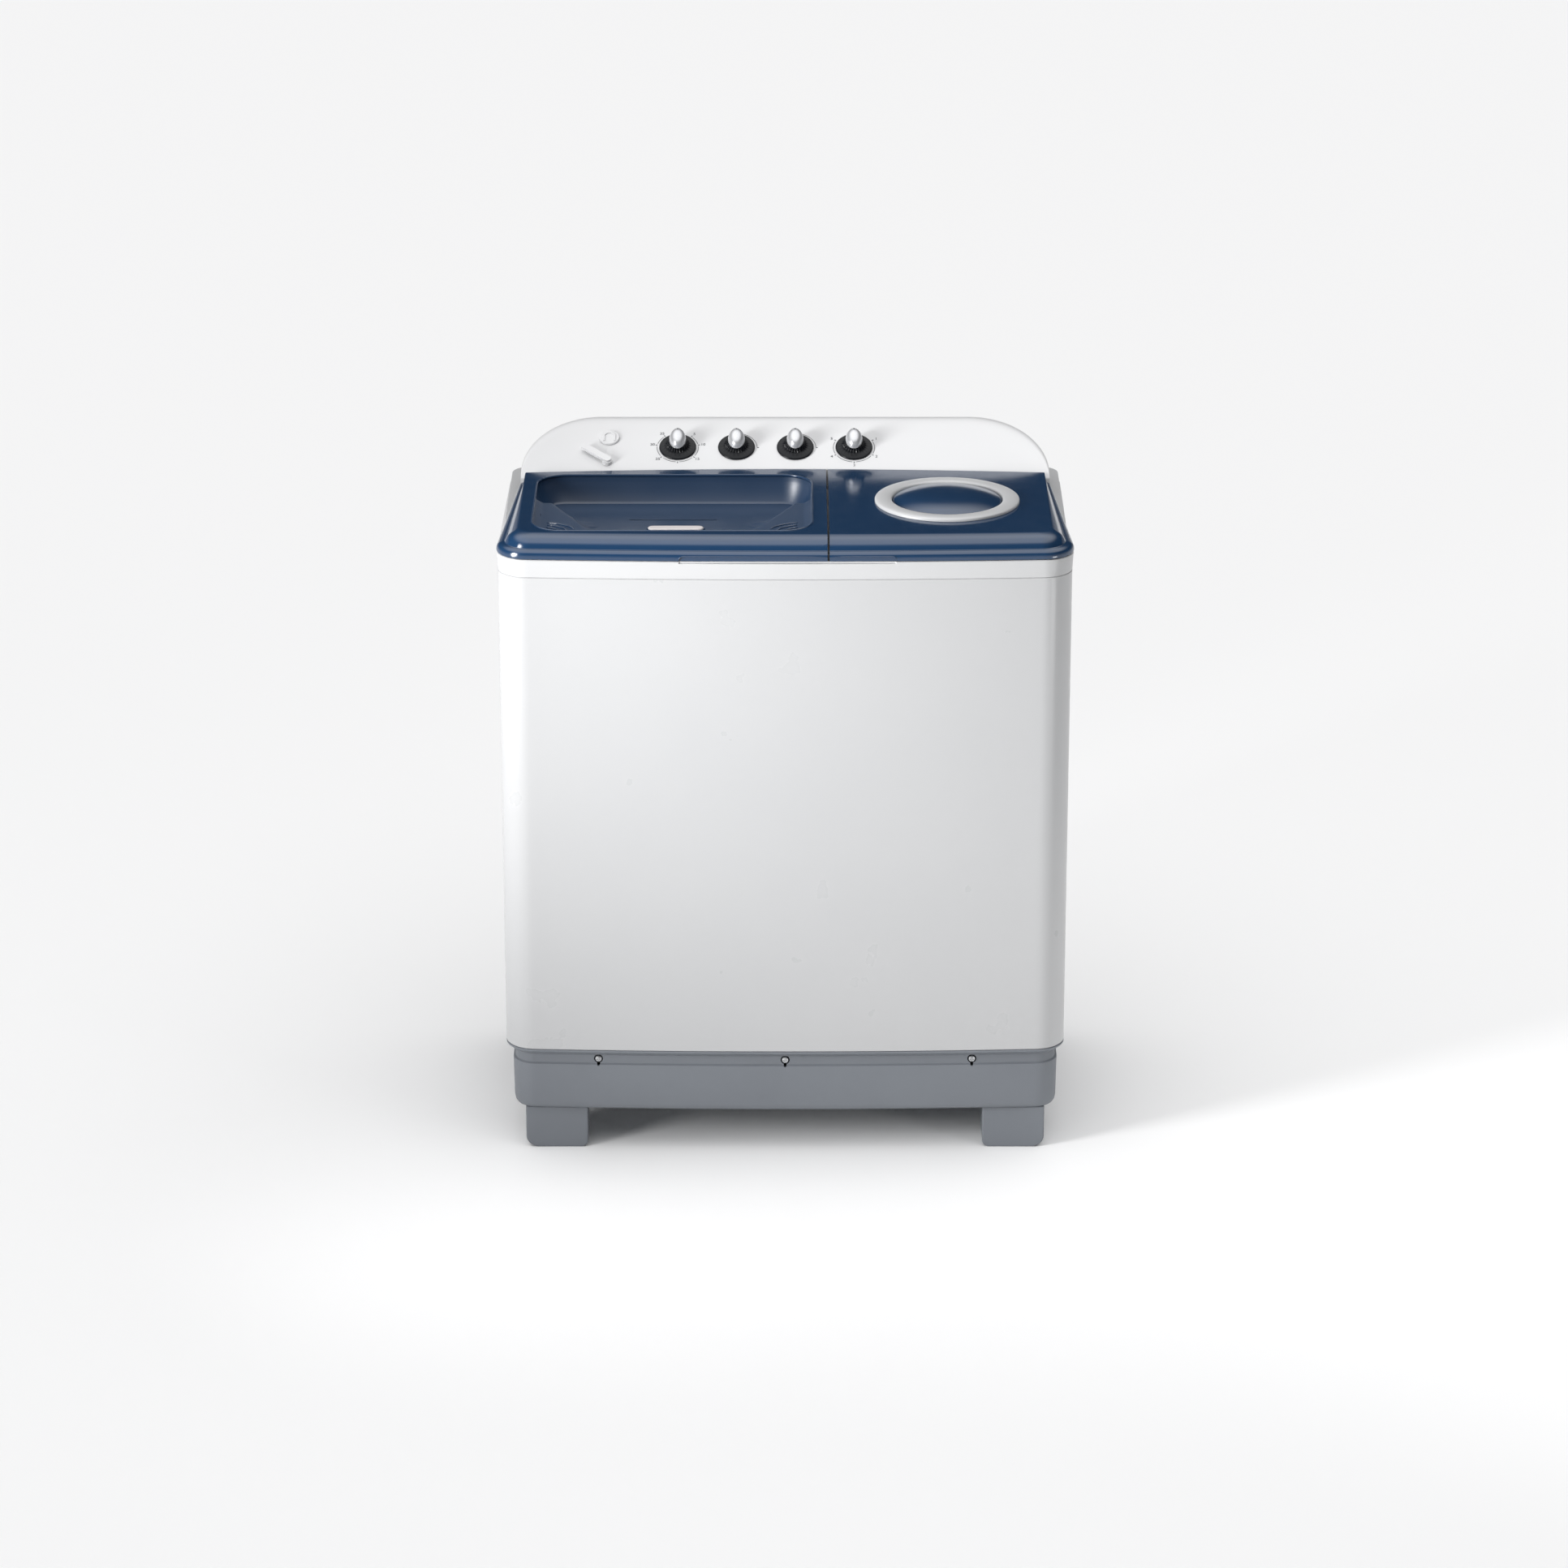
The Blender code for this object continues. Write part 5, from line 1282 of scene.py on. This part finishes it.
def make_pulsator():
    """A dished disc with four curved vanes, a rim bead and a ring of small holes."""
    lowest, highest = low("pulsator"), high("pulsator")
    centre = (lowest + highest) / 2
    radius = (highest.x - lowest.x) / 2
    base = lowest.z
    rows = [(0.0, base + 0.026), (0.022, base + 0.0255), (0.030, base + 0.0225), (0.045, base + 0.0150)]
    rows += [(0.080, base + 0.0085), (0.120, base + 0.0062), (0.150, base + 0.0080), (0.160, base + 0.0098)]
    rows += [(radius - 0.0012, base + 0.0096), (radius, base + 0.0080), (radius, base + 0.0024), (radius - 0.003, base)]
    rows += [(0.0, base)]
    body = lathe([(r, z) for r, z in rows], (centre.x, centre.y, 0.0), sides=160)
    disc = new_object("pulsator_disc", mesh_of(body, "pulsator"), TUB_WHITE, "pulsator_body")
    shaft = (low("pulsator_shaft") + high("pulsator_shaft")) / 2
    cut(disc, rod((shaft.x, shaft.y, base - 0.01), (shaft.x, shaft.y, base + 0.016), 0.0085, 48))
    holes = []
    for k in range(20):
        angle = 2 * math.pi * (k + 0.5) / 20
        for reach in (0.095, 0.128):
            x, y = centre.x + reach * math.cos(angle), centre.y + reach * math.sin(angle)
            holes.append(rod((x, y, base - 0.01), (x, y, base + 0.03), 0.0026, 10))
    cut(disc, joined(holes))
    mark_sharp(disc, 40)
    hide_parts("pulsator")
    for k in range(4):
        make_vane(k, centre, base, highest.z)


def make_vane(k, centre, base, top):
    """A swept vane, low at the rim and highest by the hub."""
    sections = []
    for step in range(25):
        share = step / 24
        reach = 0.030 + 0.124 * share
        angle = math.pi / 2 * k + 0.42 * share
        ray = Vector((math.cos(angle), math.sin(angle), 0))
        across = Vector((-ray.y, ray.x, 0))
        half = 0.0085 - 0.0028 * share
        crest = top - 0.0006 - 0.0190 * share**1.3
        at = Vector((centre.x, centre.y, 0)) + ray * reach
        profile = [(-half * 1.5, base + 0.005), (-half, crest - 0.006), (-half * 0.45, crest - 0.0008), (0.0, crest)]
        profile += [(half * 0.45, crest - 0.0008), (half, crest - 0.006), (half * 1.5, base + 0.005)]
        sections.append([at + across * u + Vector((0, 0, z)) for u, z in profile])
    new_object(f"pulsator_vane_{k + 1}", mesh_of(loft(sections), "vane"), TUB_WHITE, "pulsator_body", smooth=50)


def make_spin_tubs():
    outer_low, outer_high = low("spin_outer_tub"), high("spin_outer_tub")
    centre = (outer_low + outer_high) / 2
    radius = (outer_high.x - outer_low.x) / 2
    floor, top = outer_low.z, outer_high.z
    rows = [(radius, top), (radius, floor + 0.008), (radius - 0.003, floor + 0.002), (radius - 0.008, floor), (0.031, floor)]
    rows += [(0.031, floor + 0.003), (radius - 0.010, floor + 0.003), (radius - 0.0045, floor + 0.006)]
    rows += [(radius - 0.003, floor + 0.012), (radius - 0.003, top)]
    shell = lathe(rows, (centre.x, centre.y, 0.0), sides=160, closed=True)
    tub = new_object("spin_tub_shell", mesh_of(shell, "spin_tub"), TUB_WHITE)
    tub_hub = low("brake_drum")
    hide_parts("spin_outer_tub")
    make_basket()


def make_basket():
    """The spin basket: a rolled rim and rows of small round holes, drawn as dots of painted shade."""
    lowest, highest = low("spin_basket"), high("spin_basket")
    centre = (lowest + highest) / 2
    outer = (highest.x - lowest.x) / 2
    wall = 0.0020
    basket_inner = outer - wall
    rows = basket_profile(lowest.z, highest.z, outer, wall)
    shell = lathe(rows, (centre.x, centre.y, 0.0), sides=192)
    basket = new_object("spin_basket_shell", mesh_of(shell, "basket"), BASKET_WHITE, "spin_basket_body", smooth=45)
    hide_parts("spin_basket")
    make_basket_holes(centre, basket_inner, lowest.z, highest.z)


def basket_profile(z0, z1, radius, wall):
    rows = [(0.0, z0), (radius - 0.020, z0), (radius - 0.008, z0 + 0.004), (radius - 0.003, z0 + 0.014)]
    rows += [(radius - 0.003, z1 - 0.014), (radius, z1 - 0.010), (radius, z1 - 0.003), (radius - 0.002, z1)]
    inner = radius - 0.003 - wall
    rows += [(inner - 0.002, z1), (inner - 0.004, z1 - 0.003), (inner - 0.004, z1 - 0.008), (inner, z1 - 0.012)]
    rows += [(inner, z0 + 0.016), (inner - 0.005, z0 + 0.007), (inner - 0.016, z0 + wall + 0.001), (0.050, z0 + wall)]
    rows += [(0.040, z0 + 0.012), (0.020, z0 + 0.020), (0.0, z0 + 0.022)]
    return rows


def make_basket_holes(centre, inner, z0, z1):
    """Dark dots set flush in the wall, all round, in staggered rows: painted shade in place of the basket's pierced
    holes.
    """
    total = []
    for row in range(13):
        z = z0 + 0.045 + (z1 - z0 - 0.085) * row / 12
        for k in range(28):
            angle = 2 * math.pi * (k + 0.5 * (row % 2)) / 28
            ray = Vector((math.cos(angle), math.sin(angle), 0))
            at = Vector((centre.x, centre.y, z)) + ray * (inner - 0.0031)
            total.append(rod(at, at + ray * 0.0004, 0.0030, 10))
    # The dots are painted shade; no holes are cut in the basket.
    dots = new_object("basket_hole_shade", mesh_of(joined(total), "dots", False), HOLE_SHADE, "spin_basket_body", smooth=0)
    return dots


def make_lint_filter():
    """A framed net pocket on the back wall of the wash tub."""
    lowest, highest = low("lint_filter"), high("lint_filter")
    frame_box = new_object("lint_frame", mesh_of(box(lowest, highest), "lint"), TUB_WHITE)
    inner = 0.010
    window = box((lowest.x + inner, lowest.y - 0.01, lowest.z + inner), (highest.x - inner, lowest.y + 0.0030, highest.z - inner))
    cut(frame_box, window)
    soften(frame_box, 0.0012, 2)
    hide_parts("lint_filter")
    bars = []
    count_x, count_z = 12, 24
    y = lowest.y + 0.0022
    for k in range(1, count_x):
        x = lowest.x + inner + (highest.x - lowest.x - 2 * inner) * k / count_x
        bars.append(rod((x, y, lowest.z + inner), (x, y, highest.z - inner), 0.0005, 6))
    for k in range(1, count_z):
        z = lowest.z + inner + (highest.z - lowest.z - 2 * inner) * k / count_z
        bars.append(rod((lowest.x + inner, y, z), (highest.x - inner, y, z), 0.0005, 6))
    new_object("lint_net", mesh_of(joined(bars), "net"), PALE_INK, smooth=40)


def make_safety_cover():
    """The clear-edged inner lid over the basket, with three slots and a raised rib near its edge."""
    lowest, highest = low("safety_cover"), high("safety_cover")
    outline = rounded_rectangle(lowest.x, highest.x, lowest.y, highest.y, 0.020, 16)
    cover = new_object("inner_spin_cover", mesh_of(prism(outline, lowest.z, highest.z), "cover"), TUB_WHITE, "safety_cover_body")
    centre = (lowest + highest) / 2
    slots = []
    for i in range(3):
        reach = 0.030 + 0.026 * i
        y = VENT.y - 0.0575 + 0.06 * i
        slot = rounded_rectangle(VENT.x - reach, VENT.x + reach, y - 0.0025, y + 0.0025, 0.0024, 8)
        slots.append(prism(slot, lowest.z - 0.01, highest.z + 0.01))
    cut(cover, *slots)
    soften(cover, 0.0007, 2, 50)
    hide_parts("safety_cover")
    rib = rounded_rectangle(lowest.x + 0.010, highest.x - 0.010, lowest.y + 0.010, highest.y - 0.010, 0.014, 12)
    inner = rounded_rectangle(lowest.x + 0.013, highest.x - 0.013, lowest.y + 0.013, highest.y - 0.013, 0.011, 12)
    z0, z1 = highest.z - 0.0003, highest.z + 0.0008
    rings = [at_height(rib, z0), at_height(rib, z1), at_height(inner, z1), at_height(inner, z0)]
    new_object("inner_cover_rib", mesh_of(loft(rings, tube=True), "rib"), TUB_WHITE, "safety_cover_body", smooth=40)


# ---- build -----------------------------------------------------------------------------------------
make_cabinet()
make_top_frame()
make_base()
make_feet()
make_wash_lid()
make_tray()
make_grip_rims()
make_spin_lid()
make_panel()
make_knobs()
make_water_selector()
make_printing()
make_wash_tub()
make_pulsator()
make_spin_tubs()
make_lint_filter()
make_safety_cover()


# ---- stage, light and camera -----------------------------------------------------------------------
def area_light(name, at, aim, width, height, power, colour=(1, 1, 1)):
    light = bpy.data.lights.new(name, "AREA")
    light.shape = "RECTANGLE"
    light.size = width
    light.size_y = height
    light.energy = power
    light.color = colour
    obj = bpy.data.objects.new(name, light)
    obj.location = at
    obj.rotation_euler = (Vector(aim) - Vector(at)).to_track_quat("-Z", "Y").to_euler()
    bpy.context.scene.collection.objects.link(obj)
    return obj


def make_stage():
    """A pale floor, and a studio that is light low down and overhead and dark between, for glossy tops."""
    floor_shader = Shader("studio_floor", (0.92, 0.92, 0.92), 1.0, Specular_IOR_Level=0.0)
    floor = bpy.data.objects.new("studio_floor", mesh_of(box((-15, -15, -0.02), (15, 15, 0.0)), "studio_floor"))
    floor.data.materials.append(floor_shader.material)
    bpy.context.scene.collection.objects.link(floor)
    world = bpy.data.worlds.new("studio")
    world.use_nodes = True
    tree = world.node_tree
    direction = tree.nodes.new("ShaderNodeTexCoord")
    split = tree.nodes.new("ShaderNodeSeparateXYZ")
    ramp = tree.nodes.new("ShaderNodeValToRGB")
    ramp.color_ramp.interpolation = "EASE"
    stops = ((0.0, 0.20), (0.12, 0.18), (0.20, 0.010), (0.48, 0.014), (0.84, 1.0), (1.0, 1.0))
    while len(ramp.color_ramp.elements) < len(stops):
        ramp.color_ramp.elements.new(0.5)
    for element, (position, value) in zip(ramp.color_ramp.elements, stops):
        element.position = position
        element.color = (value, value, value * 1.004, 1.0)
    tree.links.new(direction.outputs["Generated"], split.inputs["Vector"])
    tree.links.new(split.outputs["Z"], ramp.inputs["Fac"])
    background = tree.nodes["Background"]
    tree.links.new(ramp.outputs["Color"], background.inputs["Color"])
    background.inputs["Strength"].default_value = 1.74
    bpy.context.scene.world = world
    key = area_light("key_left", (-1.50, -1.15, 1.10), (0.15, -0.25, 0.84), 0.5, 1.2, KEY_POWER)
    key.data.spread = math.radians(52)
    kick = area_light("kick_right", (1.7, -1.5, 0.35), (0.35, -0.25, 0.30), 0.5, 0.5, KICK_POWER)
    kick.data.spread = math.radians(60)


KEY_POWER = 8.4
KICK_POWER = 0.9


def make_camera():
    camera = bpy.data.cameras.new("camera")
    camera.lens = 131.42
    camera.sensor_width = 36.0
    camera.clip_end = 100.0
    obj = bpy.data.objects.new("camera", camera)
    obj.location = (-0.0017, -8.0, 3.528)
    obj.rotation_euler = (math.radians(90 - 20.767), 0, 0)
    bpy.context.scene.collection.objects.link(obj)
    bpy.context.scene.camera = obj


make_stage()
make_camera()
bpy.context.scene.view_settings.view_transform = "Standard"
